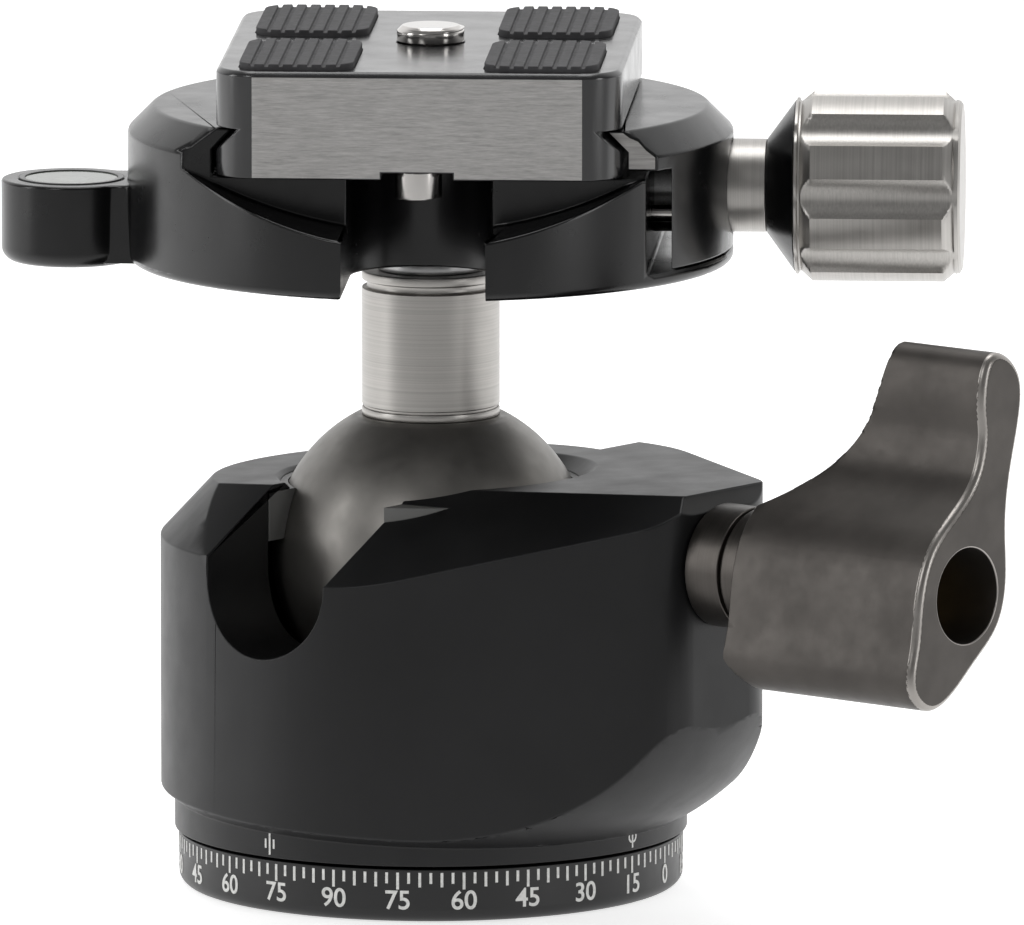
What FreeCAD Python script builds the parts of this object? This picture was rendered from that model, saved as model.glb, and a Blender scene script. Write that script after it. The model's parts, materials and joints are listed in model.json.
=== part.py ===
import FreeCAD, Part
import math
import os

# Tripod ball head. Millimetres, +Z up. The origin is the centre of the foot's underside, on the pan axis.
# +X runs along the clamp screw towards its knob, and +Y points away from the open drop notch side.

V = FreeCAD.Vector

# Fits and gaps
RUN_GAP = 0.05
FIXED_GAP = 0.02
FACE_GAP = 0.15
BALL_GAP = 0.08
NOTCH_GAP = 0.5
# How far a cutting shape reaches past the face that it cuts
PAST = 1.0

# Ball and stem
BALL_RADIUS = 15.0
BALL_Z = 31.4
STEM_RADIUS = 6.5
STEM_HEIGHT = 27.0
STEM_SHOULDER = 0.6
STEM_LIP = 0.8
STEM_LINE = 0.2
STEM_GROOVE_DEPTH = 0.5
STEM_GROOVE_WIDTH = 0.7
STEM_FLANGE = 0.9
TANG_RADIUS = 3.0
TANG_LENGTH = 7.0

# Panning base and what holds the housing on it
BASE_STEP = 0.4
BASE_HEIGHT = 5.1
BASE_EDGE = 1.3
TRIPOD_THREAD_RADIUS = 4.7625
TRIPOD_THREAD_DEPTH = 9.0
HUB_RADIUS = 12.0
HUB_TOP_Z = 12.4
WASHER_INNER = 13.0
WASHER_OUTER = 19.0
WASHER_THICKNESS = 0.65
WASHER_RECESS = 0.45
RETAINER_RADIUS = 14.5
RETAINER_THICKNESS = 1.0
RETAINER_HOLE = 5.5
RETAINER_SCREW_CIRCLE = 8.6
RETAINER_SCREW_COUNT = 3
RETAINER_SCREW_RADIUS = 1.25
RETAINER_SCREW_HEAD = 2.3
RETAINER_SCREW_DEPTH = 5.0
RETAINER_SLOT = 0.5

# Housing
BODY_RADIUS = 25.5
BODY_BORE_WALL = 2.0
SKIRT_STEP = 1.3
HOUSING_BOTTOM_Z = 5.4
RIM_OVER_BALL = 7.8
RIM_TILT_DEG = 2.3
RIM_HOLD = 1.1
RIM_LEAD_IN = 1.2
RIM_LEAD_IN_DEPTH = 1.1
LIP_THICKNESS = 0.95
SHOULDER_WIDTH = 5.5
SHOULDER_HEIGHT = 5.9
SHOULDER_END = 5.0
BEVEL_TILT_DEG = 30.0
BEVEL_AZIMUTH_DEG = -115.0
BEVEL_DROP = 7.5
NOTCH_AZIMUTH_DEG = -126.0

# The dished underside of the upper body: an arc through three places, each (out past the body, height),
# turned about an axis set off towards the boss
DISH_OFFSET = 1.5
DISH = [(-2.6, 7.0), (6.8, 15.9), (10.4, 26.0)]

# Boss and main lock
LOCK_AZIMUTH_DEG = -36.0
LOCK_OVER_BALL = 2.4
BOSS_REACH = 35.2
BOSS_HALF_WIDTH = 10.0
BOSS_CORNER = 6.0
BOSS_RISE = 1.2
BOSS_EDGE = 1.4
SHOE_RADIUS = 3.4
SHOE_LENGTH = 6.6
SHOE_TRAVEL = 0.625
SPINDLE_RADIUS = 3.0
SPINDLE_SEAT = 8.0
BUSH_RADIUS = 5.0
BUSH_LENGTH = 10.0
COLLAR_RADIUS = 5.8
COLLAR_LENGTH = 6.65
COLLAR_GROOVE_AT = 3.9
COLLAR_GROOVE = 0.4
COLLAR_GROOVE_DEPTH = 0.5
WING_LENGTH = 22.4
WING_HOLE_RADIUS = 4.5
WING_HOLE_DEPTH = 11.0
WING_EDGE = 0.7

# Wing knob: its end view as (sideways, up) from the lock axis, and the two places where its back is cut away,
# as (out from the back, up) from the lock axis
WING_OUTLINE = [(2.3, 19.2), (4.9, 22.2), (7.9, 20.0), (8.1, 16.0), (6.8, 11.0), (6.1, 5.5),
                (6.2, 0.5), (4.8, -3.6), (1.4, -6.6), (-2.0, -9.2), (-5.4, -10.2), (-8.1, -8.0),
                (-7.7, -4.2), (-7.1, 0.0), (-5.2, 4.8), (-1.6, 8.0), (1.5, 11.2), (2.4, 15.0)]
WING_HOLLOW = [(-1.0, 6.2), (5.4, 10.5), (11.2, 23.5)]
WING_LOBE_CUT = [(-1.0, -6.0), (3.6, -11.5), (-1.0, -11.5)]

# Friction adjuster
FRICTION_SCREW_LENGTH = 3.0
FRICTION_SLOT_WIDTH = 1.0
FRICTION_SLOT_DEPTH = 1.2
FRICTION_SPRING_RADIUS = 2.4

# Seats round the ball
SEAT_RING_LIFT = 2.2
CARRIER_GAP = 0.4
CARRIER_DROP = 9.4
CUP_THICKNESS = 1.0
CUP_HALF_ANGLE_DEG = 45.0

# Pan lock, at the back
PAN_AZIMUTH_DEG = 96.0
PAN_Z = 9.2
PAN_SHOE_RADIUS = 2.4
PAN_SHOE_LENGTH = 5.4
PAN_SCREW_RADIUS = 2.0
PAN_TRAVEL = 0.4
PAN_COLLAR_RADIUS = 3.4
PAN_KNOB_RADIUS = 5.2
PAN_COLLAR_LENGTH = 1.75
PAN_KNOB_LENGTH = 8.0
PAN_SCREW_SEAT = 4.0
PAN_KNOB_FLUTES = 10
PAN_FLUTE_RADIUS = 1.1

# Clamp
CLAMP_WALL = 9.5
CLAMP_HEIGHT = 14.8
CLAMP_TOP_CHAMFER = 2.4
CLAMP_BOTTOM_EDGE = 0.8
FLOOR_HEIGHT = 10.3
JAW_FRONT_Y = -17.8
JAW_WALL = 1.9
JAW_GAP = 2.2
LIP_RISE = 0.7
JAW_RISE = 1.5
BASE_LIP_GAP = 0.15
SCOOP_RADIUS = 44.2
SCOOP_HEIGHT = 5.05
FRONT_NOTCH_WIDTH = 13.5
REAR_CHANNEL_DEPTH = 2.2
SPACER_RADIUS = 5.0
SPACER_THICKNESS = 1.0
FIXING_SCREW_RADIUS = 2.5
FIXING_HEAD_RADIUS = 4.4
FIXING_HEAD_HEIGHT = 3.8
FIXING_HEAD_SINK = 0.4
FIXING_SCREW_REACH = 10.0
FIXING_HOLE_DEPTH = 10.5
FIXING_HEX = 2.0
FIXING_HEX_DEPTH = 2.0
GUIDE_PIN_RADIUS = 0.8
GUIDE_PIN_Y = 9.0
GUIDE_PIN_HEIGHT = 5.8
GUIDE_PIN_DEPTH = 9.3
GUIDE_PIN_SEAT = 2.5

# Clamp screw and knob
SCREW_HEIGHT = 7.2
CLAMP_THREAD_RADIUS = 3.0
CLAMP_THREAD_DEPTH = 12.3
SPRING_OUTER = 4.4
SPRING_DEPTH = 8.8
SPRING_ROOF = 0.6
SHAFT_RADIUS = 4.4
SHAFT_SINK = 0.5
SHAFT_LENGTH = 3.2
CONE_LENGTH = 2.7
KNOB_LENGTH = 15.7
KNOB_RADIUS = 8.95
KNOB_SEAT = 6.0
CONE_END_RADIUS = 8.1
KNOB_CHAMFER = 0.8
KNOB_FLUTES = 8
FLUTE_RADIUS = 3.0
FLUTE_DEPTH = 0.8
FLUTE_END_MARGIN = 2.0
KNOB_RING_MARGIN = 1.3
KNOB_RING_WIDTH = 0.35
KNOB_RING_DEPTH = 0.3

# Level
LUG_OUT = 5.4
LUG_RADIUS = 6.6
LUG_HEIGHT = 7.4
LUG_DROP = 0.4
LUG_WAIST = 5.2
LUG_EDGE = 1.4
LUG_ROOT = 4.0
BEZEL_RADIUS = 4.9
BEZEL_WALL = 0.5
BEZEL_PROUD = 0.1
VIAL_DEPTH = 4.2
BUBBLE_RADIUS = 1.5
BUBBLE_HEIGHT = 0.6
BUBBLE_DEPTH = 0.9

# Camera plate
PLATE_WIDTH = 38.0
PLATE_LENGTH = 43.0
PLATE_LIFT = 0.2
PLATE_HEIGHT = 10.1
PLATE_CORNER = 4.0
PLATE_EDGE = 0.4
DOVETAIL_FLANGE = 2.3
DOVETAIL_DEPTH = 2.3
DOVETAIL_GAP = 0.2
PLATE_SLOT_WIDTH = 6.7
PLATE_SLOT_DEPTH = 0.65
PLATE_TRAVEL = 11.0
STOP_GAP = 0.2
STOP_PIN_INSET = 2.5
STOP_PIN_RADIUS = 2.2
STOP_PIN_LENGTH = 2.6
STOP_STUD_RADIUS = 1.2
STOP_STUD_LENGTH = 3.0
CAMERA_THREAD_RADIUS = 3.175
CAMERA_THREAD_PROUD = 1.6
CAMERA_SHANK_RADIUS = 2.7
CAMERA_SHANK_PROUD = 0.1
CAMERA_HEAD_RADIUS = 5.2
CAMERA_HEAD_HEIGHT = 2.8
CAMERA_HEAD_SINK = 0.3
CAMERA_TIP_CHAMFER = 0.5
CAMERA_SLOT_WIDTH = 1.4
CAMERA_SLOT_DEPTH = 1.3
CLIP_THICKNESS = 0.6
PAD_X = 6.1
PAD_SIDE_MARGIN = 2.2
PAD_Y = 2.8
PAD_END_MARGIN = 1.0
PAD_HEIGHT = 0.6
PAD_CORNER = 2.6
PAD_RECESS = 0.5
PAD_GROOVES = 7
PAD_GROOVE_WIDTH = 0.4
PAD_GROOVE_DEPTH = 0.25

# Places that follow from the sizes above: round the ball
BODY_BORE = BALL_RADIUS + BODY_BORE_WALL
SKIRT_RADIUS = BODY_RADIUS - SKIRT_STEP
BASE_RADIUS = SKIRT_RADIUS - BASE_STEP
SHOULDER_RADIUS = BODY_RADIUS - SHOULDER_WIDTH
RIM_Z = BALL_Z + RIM_OVER_BALL
RIM_OPENING_RADIUS = BALL_RADIUS - RIM_HOLD
BORE_TOP_Z = RIM_Z - LIP_THICKNESS
BEVEL_LOWEST_Z = RIM_Z - BEVEL_DROP
BOSS_TOP_Z = RIM_Z + BOSS_RISE
BEARING_RADIUS = BALL_RADIUS + BALL_GAP
CUP_OUTER = BEARING_RADIUS + CUP_THICKNESS
SEAT_RING_BOTTOM_Z = BALL_Z + SEAT_RING_LIFT
CARRIER_BOTTOM_Z = HUB_TOP_Z + RETAINER_THICKNESS + CARRIER_GAP
CARRIER_TOP_Z = BALL_Z - CARRIER_DROP
FLAT_RADIUS = STEM_RADIUS + STEM_SHOULDER
FLAT_Z = BALL_Z + math.sqrt(BALL_RADIUS ** 2 - FLAT_RADIUS ** 2)
STEM_TOP_Z = BALL_Z + STEM_HEIGHT

# Along the lock axis and the pan lock's axis
LOCK_Z = BALL_Z + LOCK_OVER_BALL
WING_BACK = BOSS_REACH + FACE_GAP + COLLAR_LENGTH
WING_FACE = WING_BACK + WING_LENGTH
SPINDLE_END = WING_BACK + SPINDLE_SEAT
PAN_KNOB_START = BODY_RADIUS + FACE_GAP + PAN_COLLAR_LENGTH

# Clamp and plate, upwards
CLAMP_BOTTOM_Z = STEM_TOP_Z + SPACER_THICKNESS
CLAMP_TOP_Z = CLAMP_BOTTOM_Z + CLAMP_HEIGHT
FLOOR_Z = CLAMP_BOTTOM_Z + FLOOR_HEIGHT
LIP_BOTTOM_Z = FLOOR_Z + LIP_RISE
JAW_BOTTOM_Z = CLAMP_BOTTOM_Z + JAW_RISE
SCOOP_BOTTOM_Z = CLAMP_BOTTOM_Z + SCOOP_HEIGHT
GUIDE_PIN_Z = CLAMP_BOTTOM_Z + GUIDE_PIN_HEIGHT
SCREW_Z = CLAMP_BOTTOM_Z + SCREW_HEIGHT
LUG_TOP_Z = CLAMP_BOTTOM_Z + LUG_HEIGHT
LUG_BOTTOM_Z = CLAMP_BOTTOM_Z - LUG_DROP
HEAD_SEAT_Z = FLOOR_Z - FIXING_HEAD_SINK - FIXING_HEAD_HEIGHT
PLATE_BOTTOM_Z = FLOOR_Z + PLATE_LIFT
PLATE_TOP_Z = PLATE_BOTTOM_Z + PLATE_HEIGHT
STOP_SEAT_Z = PLATE_BOTTOM_Z + PLATE_SLOT_DEPTH
CAMERA_HEAD_Z = PLATE_BOTTOM_Z + CAMERA_HEAD_SINK
CAMERA_THREAD_TIP_Z = PLATE_TOP_Z + CAMERA_THREAD_PROUD
CLIP_Z = CAMERA_HEAD_Z + CAMERA_HEAD_HEIGHT + FACE_GAP

# Clamp and plate, sideways
CHANNEL_HALF = PLATE_WIDTH / 2 + 2 * DOVETAIL_GAP
CLAMP_RADIUS = PLATE_WIDTH / 2 + CLAMP_WALL
JAW_GAP_X = CHANNEL_HALF + JAW_WALL
JAW_FACE_X = JAW_GAP_X + JAW_GAP
JAW_TIP_X = CHANNEL_HALF - DOVETAIL_DEPTH + DOVETAIL_GAP
JAW_KNEE_Z = CLAMP_TOP_Z - (CHANNEL_HALF - JAW_TIP_X)
GUIDE_PIN_START_X = JAW_GAP_X - GUIDE_PIN_DEPTH
GUIDE_PIN_END_X = JAW_FACE_X + GUIDE_PIN_SEAT
CLAMP_THREAD_START_X = JAW_GAP_X - CLAMP_THREAD_DEPTH
SPRING_START_X = JAW_GAP_X - SPRING_DEPTH
SHAFT_START_X = CLAMP_RADIUS - SHAFT_SINK
CONE_START_X = CLAMP_RADIUS + SHAFT_LENGTH
KNOB_START_X = CONE_START_X + CONE_LENGTH
KNOB_END_X = KNOB_START_X + KNOB_LENGTH
LUG_X = -(CLAMP_RADIUS + LUG_OUT)
STOP_PIN_Y = PLATE_LENGTH / 2 - STOP_PIN_INSET
FRONT_NOTCH_END_Y = PLATE_TRAVEL + STOP_PIN_RADIUS + STOP_GAP - STOP_PIN_Y
PAD_WIDTH = PLATE_WIDTH / 2 - PAD_SIDE_MARGIN - PAD_X
PAD_LENGTH = PLATE_LENGTH / 2 - PAD_END_MARGIN - PAD_Y
# Reach of cutting shapes, past the whole object
CLEAR = PLATE_TOP_Z + BODY_RADIUS


def cyl(radius, z0, z1, x=0.0, y=0.0):
    return Part.makeCylinder(radius, z1 - z0, V(x, y, z0))


def cyl_x(radius, x0, x1, y=0.0, z=0.0):
    return Part.makeCylinder(radius, x1 - x0, V(x0, y, z), V(1, 0, 0))


def tube(inner, outer, z0, z1, x=0.0, y=0.0):
    return cyl(outer, z0, z1, x, y).cut(cyl(inner, z0 - PAST, z1 + PAST, x, y))


def tube_x(inner, outer, x0, x1, z):
    return cyl_x(outer, x0, x1, 0, z).cut(cyl_x(inner, x0 - PAST, x1 + PAST, 0, z))


def box(x0, x1, y0, y1, z0, z1):
    return Part.makeBox(x1 - x0, y1 - y0, z1 - z0, V(x0, y0, z0))


def turned(shape, azimuth_deg):
    """The shape, built along +X, turned about the pan axis to its azimuth."""
    result = shape.copy()
    result.rotate(V(0, 0, 0), V(0, 0, 1), azimuth_deg)
    return result


def face_of(edges):
    return Part.Face(Part.Wire(edges))


def polygon_along_y(points, y0, y1):
    """A prism along Y whose section is the closed polygon of (x, z) points."""
    corners = [V(x, y0, z) for x, z in points]
    return Part.Face(Part.makePolygon(corners + corners[:1])).extrude(V(0, y1 - y0, 0))


def arc(a, b, c):
    return Part.Arc(a, b, c).toShape()


def line(a, b):
    return Part.LineSegment(a, b).toShape()


def ball(radius):
    return Part.makeSphere(radius, V(0, 0, BALL_Z))


def edges_at_z(shape, z):
    """Edges that lie wholly in the plane at height z."""
    return [e for e in shape.Edges if abs(e.BoundBox.ZMin - z) < 1e-4 and abs(e.BoundBox.ZMax - z) < 1e-4]


def edges_at_x(shape, x):
    """Edges that lie wholly in the plane at this x."""
    return [e for e in shape.Edges if abs(e.BoundBox.XMin - x) < 1e-4 and abs(e.BoundBox.XMax - x) < 1e-4]


def notch_cut():
    """Space that the stem needs when the ball drops to one side."""
    radius = STEM_RADIUS + NOTCH_GAP
    slot = cyl_x(radius, 0, CLEAR, 0, BALL_Z)
    slot = slot.fuse(box(0, CLEAR, -radius, radius, BALL_Z, BALL_Z + CLEAR))
    return turned(slot, NOTCH_AZIMUTH_DEG)


def hull_outline(z):
    """Plan of the upper body: the round body and the boss's rounded end, joined by their tangents."""
    centre_u = BOSS_REACH - BOSS_CORNER
    centre_n = BOSS_HALF_WIDTH - BOSS_CORNER
    distance = math.hypot(centre_u, centre_n)
    normal = math.atan2(centre_n, centre_u) + math.acos((BODY_RADIUS - BOSS_CORNER) / distance)

    def on_body(angle):
        return V(BODY_RADIUS * math.cos(angle), BODY_RADIUS * math.sin(angle), z)

    def on_corner(angle, side):
        along = centre_u + BOSS_CORNER * math.cos(angle)
        return V(along, side * (centre_n + BOSS_CORNER * math.sin(angle)), z)

    a = on_body(normal)
    b = on_corner(normal, 1)
    c = V(BOSS_REACH, centre_n, z)
    d = V(BOSS_REACH, -centre_n, z)
    e = on_corner(normal, -1)
    f = on_body(-normal)
    return [line(a, b), arc(b, on_corner(normal / 2, 1), c), line(c, d), arc(d, on_corner(normal / 2, -1), e),
            line(e, f), arc(f, V(-BODY_RADIUS, 0, z), a)]


def upper_body():
    low = DISH[0][1]
    solid = face_of(hull_outline(low)).extrude(V(0, 0, CLEAR - low))
    solid = turned(solid, LOCK_AZIMUTH_DEG)
    # dished underside
    p_low, p_mid, p_high = [V(BODY_RADIUS + out, 0, z) for out, z in DISH]
    rim = V(p_high.x + PAST, 0, CLEAR)
    foot = V(0, 0, low)
    head = V(0, 0, CLEAR)
    edges = [line(foot, p_low), arc(p_low, p_mid, p_high), line(p_high, rim), line(rim, head)]
    edges.append(line(head, foot))
    dish = face_of(edges).revolve(V(0, 0, 0), V(0, 0, 1), 360)
    dish.translate(V(DISH_OFFSET, 0, 0))
    solid = solid.common(turned(dish, LOCK_AZIMUTH_DEG))
    # top plane, a little higher at the boss
    top = box(-CLEAR, CLEAR, -CLEAR, CLEAR, RIM_Z, RIM_Z + CLEAR)
    top.rotate(V(0, 0, RIM_Z), V(0, 1, 0), -RIM_TILT_DEG)
    return solid.cut(turned(top, LOCK_AZIMUTH_DEG))


def shoulder_cut():
    """Chamfer round the rim, all round but at the boss."""
    slope = SHOULDER_HEIGHT / (BODY_RADIUS - SHOULDER_RADIUS)
    inner = V(SHOULDER_RADIUS - 2 * PAST, 0, RIM_Z + 2 * PAST * slope)
    outer = V(BODY_RADIUS + 2 * PAST, 0, RIM_Z - SHOULDER_HEIGHT - 2 * PAST * slope)
    ring = Part.makePolygon([inner, outer, V(outer.x, 0, CLEAR), V(inner.x, 0, CLEAR), inner])
    ring = Part.Face(ring).revolve(V(0, 0, 0), V(0, 0, 1), 360)
    boss_side = box(SHOULDER_END, CLEAR, -CLEAR, CLEAR, 0, CLEAR)
    return ring.cut(turned(boss_side, LOCK_AZIMUTH_DEG))


def bevel_cut():
    """Flat bevel that slopes down to the front, towards the notch side."""
    block = box(-CLEAR, CLEAR, -CLEAR, CLEAR, 0, CLEAR)
    block.translate(V(BODY_RADIUS, 0, 0))
    block.rotate(V(BODY_RADIUS, 0, 0), V(0, 1, 0), BEVEL_TILT_DEG)
    block.translate(V(0, 0, BEVEL_LOWEST_Z))
    return turned(block, BEVEL_AZIMUTH_DEG)


def boss_edge_cut():
    """Slope at the top of the boss's end, over the collar."""
    block = box(0, CLEAR, -CLEAR, CLEAR, 0, CLEAR)
    block.rotate(V(0, 0, 0), V(0, 1, 0), 45)
    block.translate(V(BOSS_REACH - BOSS_EDGE, 0, BOSS_TOP_Z))
    return turned(block, LOCK_AZIMUTH_DEG)


def make_housing():
    solid = cyl(SKIRT_RADIUS, HOUSING_BOTTOM_Z, BALL_Z).fuse(upper_body())
    solid = solid.cut(shoulder_cut())
    solid = solid.cut(bevel_cut())
    solid = solid.cut(boss_edge_cut())
    solid = solid.cut(cyl(BODY_BORE, 0, BORE_TOP_Z))
    solid = solid.cut(cyl(RIM_OPENING_RADIUS, 0, CLEAR))
    foot = V(0, 0, RIM_Z - RIM_LEAD_IN_DEPTH)
    wide = RIM_OPENING_RADIUS + 3 * RIM_LEAD_IN
    lead_in = Part.makeCone(RIM_OPENING_RADIUS, wide, 3 * RIM_LEAD_IN_DEPTH, foot)
    solid = solid.cut(lead_in)
    solid = solid.cut(notch_cut())
    shoe_end = BEARING_RADIUS + SHOE_LENGTH + SHOE_TRAVEL + FACE_GAP
    holes = cyl_x(SHOE_RADIUS + RUN_GAP, 0, shoe_end, 0, LOCK_Z)
    holes = holes.fuse(cyl_x(SPINDLE_RADIUS + RUN_GAP, 0, CLEAR, 0, LOCK_Z))
    holes = holes.fuse(cyl_x(BUSH_RADIUS, BOSS_REACH - BUSH_LENGTH, CLEAR, 0, LOCK_Z))
    solid = solid.cut(turned(holes, LOCK_AZIMUTH_DEG))
    pan_end = HUB_RADIUS + RUN_GAP + PAN_SHOE_LENGTH + PAN_TRAVEL + FACE_GAP
    pan_holes = cyl_x(PAN_SHOE_RADIUS + RUN_GAP, 0, pan_end, 0, PAN_Z)
    pan_holes = pan_holes.fuse(cyl_x(PAN_SCREW_RADIUS + RUN_GAP, 0, CLEAR, 0, PAN_Z))
    return solid.cut(turned(pan_holes, PAN_AZIMUTH_DEG))


def retainer_screw_angles():
    return [360.0 / RETAINER_SCREW_COUNT * i for i in range(RETAINER_SCREW_COUNT)]


def make_retainer_screws():
    """Countersunk screws, flush with the ring."""
    top = HUB_TOP_Z + RETAINER_THICKNESS
    one = cyl(RETAINER_SCREW_RADIUS, HUB_TOP_Z - RETAINER_SCREW_DEPTH, top, RETAINER_SCREW_CIRCLE)
    head = Part.makeCone(RETAINER_SCREW_RADIUS, RETAINER_SCREW_HEAD, RETAINER_THICKNESS,
                         V(RETAINER_SCREW_CIRCLE, 0, HUB_TOP_Z))
    one = one.fuse(head).removeSplitter()
    half = RETAINER_SLOT / 2
    slot = box(0, CLEAR, -half, half, top - RETAINER_SLOT, top + PAST)
    one = one.cut(slot)
    return Part.Compound([turned(one, angle) for angle in retainer_screw_angles()])


def retainer_screw_holes():
    hole = cyl(RETAINER_SCREW_RADIUS + FIXED_GAP, HUB_TOP_Z - RETAINER_SCREW_DEPTH - FACE_GAP, CLEAR,
               RETAINER_SCREW_CIRCLE)
    sink = Part.makeCone(RETAINER_SCREW_RADIUS + FIXED_GAP, RETAINER_SCREW_HEAD + FIXED_GAP,
                         RETAINER_THICKNESS, V(RETAINER_SCREW_CIRCLE, 0, HUB_TOP_Z))
    hole = hole.fuse(sink)
    return [turned(hole, angle) for angle in retainer_screw_angles()]


def make_panning_base():
    solid = cyl(BASE_RADIUS, 0, BASE_HEIGHT)
    solid = solid.makeFillet(BASE_EDGE, edges_at_z(solid, 0))
    solid = solid.fuse(cyl(HUB_RADIUS, BASE_HEIGHT - PAST, HUB_TOP_Z)).removeSplitter()
    recess = tube(WASHER_INNER - RUN_GAP, WASHER_OUTER + RUN_GAP, BASE_HEIGHT - WASHER_RECESS,
                  BASE_HEIGHT + PAST)
    solid = solid.cut(recess)
    solid = solid.cut(cyl(TRIPOD_THREAD_RADIUS, -PAST, TRIPOD_THREAD_DEPTH))
    for hole in retainer_screw_holes():
        solid = solid.cut(hole)
    return solid


def make_thrust_washer():
    low = BASE_HEIGHT - WASHER_RECESS
    return tube(WASHER_INNER, WASHER_OUTER, low, low + WASHER_THICKNESS)


def make_retaining_ring():
    solid = tube(RETAINER_HOLE, RETAINER_RADIUS, HUB_TOP_Z, HUB_TOP_Z + RETAINER_THICKNESS)
    for hole in retainer_screw_holes():
        solid = solid.cut(hole)
    return solid


def make_bottom_cover():
    top = HUB_TOP_Z - FACE_GAP
    solid = tube(HUB_RADIUS + RUN_GAP, BODY_BORE - FIXED_GAP, HOUSING_BOTTOM_Z, top)
    hole = cyl_x(PAN_SHOE_RADIUS + RUN_GAP, 0, CLEAR, 0, PAN_Z)
    return solid.cut(turned(hole, PAN_AZIMUTH_DEG))


def make_seat_carrier():
    solid = cyl(BODY_BORE - FIXED_GAP, CARRIER_BOTTOM_Z, CARRIER_TOP_Z)
    return solid.cut(ball(CUP_OUTER + BALL_GAP))


def make_ball_cup():
    """Shell under the ball, a cap seen from its centre under the half angle."""
    shell = ball(CUP_OUTER).cut(ball(BEARING_RADIUS))
    top = BALL_Z - CUP_OUTER * math.cos(math.radians(CUP_HALF_ANGLE_DEG))
    return shell.common(cyl(CLEAR, 0, top))


def make_seat_ring():
    solid = cyl(BODY_BORE - FIXED_GAP, SEAT_RING_BOTTOM_Z, BORE_TOP_Z - FIXED_GAP)
    solid = solid.cut(ball(BEARING_RADIUS))
    solid = solid.cut(notch_cut())
    hole = cyl_x(SHOE_RADIUS + 2 * RUN_GAP, 0, CLEAR, 0, LOCK_Z)
    return solid.cut(turned(hole, LOCK_AZIMUTH_DEG))


def make_lock_bush():
    start = BOSS_REACH - BUSH_LENGTH + FIXED_GAP
    solid = tube_x(SPINDLE_RADIUS + RUN_GAP, BUSH_RADIUS - FIXED_GAP, start, BOSS_REACH - FACE_GAP, LOCK_Z)
    return turned(solid, LOCK_AZIMUTH_DEG)


def make_brake_shoe():
    end = BEARING_RADIUS + SHOE_LENGTH
    solid = cyl_x(SHOE_RADIUS, BALL_RADIUS / 2, end, 0, LOCK_Z).cut(ball(BEARING_RADIUS))
    return turned(solid, LOCK_AZIMUTH_DEG)


def make_lock_spindle():
    start = BEARING_RADIUS + SHOE_LENGTH + FIXED_GAP
    return turned(cyl_x(SPINDLE_RADIUS, start, SPINDLE_END, 0, LOCK_Z), LOCK_AZIMUTH_DEG)


def make_lock_collar():
    start = BOSS_REACH + FACE_GAP
    solid = tube_x(SPINDLE_RADIUS + FIXED_GAP, COLLAR_RADIUS, start, WING_BACK, LOCK_Z)
    groove_x = start + COLLAR_GROOVE_AT
    groove = tube_x(COLLAR_RADIUS - COLLAR_GROOVE_DEPTH, COLLAR_RADIUS + PAST, groove_x,
                    groove_x + COLLAR_GROOVE, LOCK_Z)
    return turned(solid.cut(groove), LOCK_AZIMUTH_DEG)


def wing_outline(x):
    """End view of the wing knob, seen along the lock axis: one smooth closed curve."""
    curve = Part.BSplineCurve()
    curve.interpolate([V(x, side, LOCK_Z + up) for side, up in WING_OUTLINE], PeriodicFlag=True)
    return [curve.toShape()]


def wing_back_cut():
    """The knob's back, hollowed towards the top of the wing and cut back at the short lobe."""
    a, b, c = [V(WING_BACK + out, -CLEAR, LOCK_Z + up) for out, up in WING_HOLLOW]
    d = V(a.x, -CLEAR, c.z)
    upper = face_of([arc(a, b, c), line(c, d), line(d, a)]).extrude(V(0, 2 * CLEAR, 0))
    e, f, g = [V(WING_BACK + out, -CLEAR, LOCK_Z + up) for out, up in WING_LOBE_CUT]
    lower = face_of([line(e, f), line(f, g), line(g, e)]).extrude(V(0, 2 * CLEAR, 0))
    return upper.fuse(lower)


def make_lock_knob():
    solid = face_of(wing_outline(WING_BACK)).extrude(V(WING_FACE - WING_BACK, 0, 0))
    solid = solid.makeFillet(WING_EDGE, edges_at_x(solid, WING_FACE))
    solid = solid.cut(wing_back_cut())
    floor = WING_FACE - WING_HOLE_DEPTH
    solid = solid.cut(cyl_x(WING_HOLE_RADIUS, floor, CLEAR + WING_FACE, 0, LOCK_Z))
    solid = solid.cut(cyl_x(SPINDLE_RADIUS + FIXED_GAP, 0, WING_FACE - PAST, 0, LOCK_Z))
    return turned(solid, LOCK_AZIMUTH_DEG)


def make_friction_screw():
    """Slotted adjuster deep in the knob's hole."""
    start = WING_FACE - WING_HOLE_DEPTH + FACE_GAP
    end = start + FRICTION_SCREW_LENGTH
    solid = cyl_x(WING_HOLE_RADIUS - RUN_GAP, start, end, 0, LOCK_Z)
    slot = box(end - FRICTION_SLOT_DEPTH, end + PAST, -CLEAR, CLEAR,
               LOCK_Z - FRICTION_SLOT_WIDTH / 2, LOCK_Z + FRICTION_SLOT_WIDTH / 2)
    return turned(solid.cut(slot), LOCK_AZIMUTH_DEG)


def make_friction_spring():
    start = SPINDLE_END + FIXED_GAP
    end = WING_FACE - WING_HOLE_DEPTH
    solid = tube_x(FRICTION_SPRING_RADIUS / 2, FRICTION_SPRING_RADIUS, start, end, LOCK_Z)
    return turned(solid, LOCK_AZIMUTH_DEG)


def make_pan_shoe():
    start = HUB_RADIUS - PAST
    end = HUB_RADIUS + RUN_GAP + PAN_SHOE_LENGTH
    solid = cyl_x(PAN_SHOE_RADIUS, start, end, 0, PAN_Z).cut(cyl(HUB_RADIUS + RUN_GAP, 0, CLEAR))
    return turned(solid, PAN_AZIMUTH_DEG)


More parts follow.
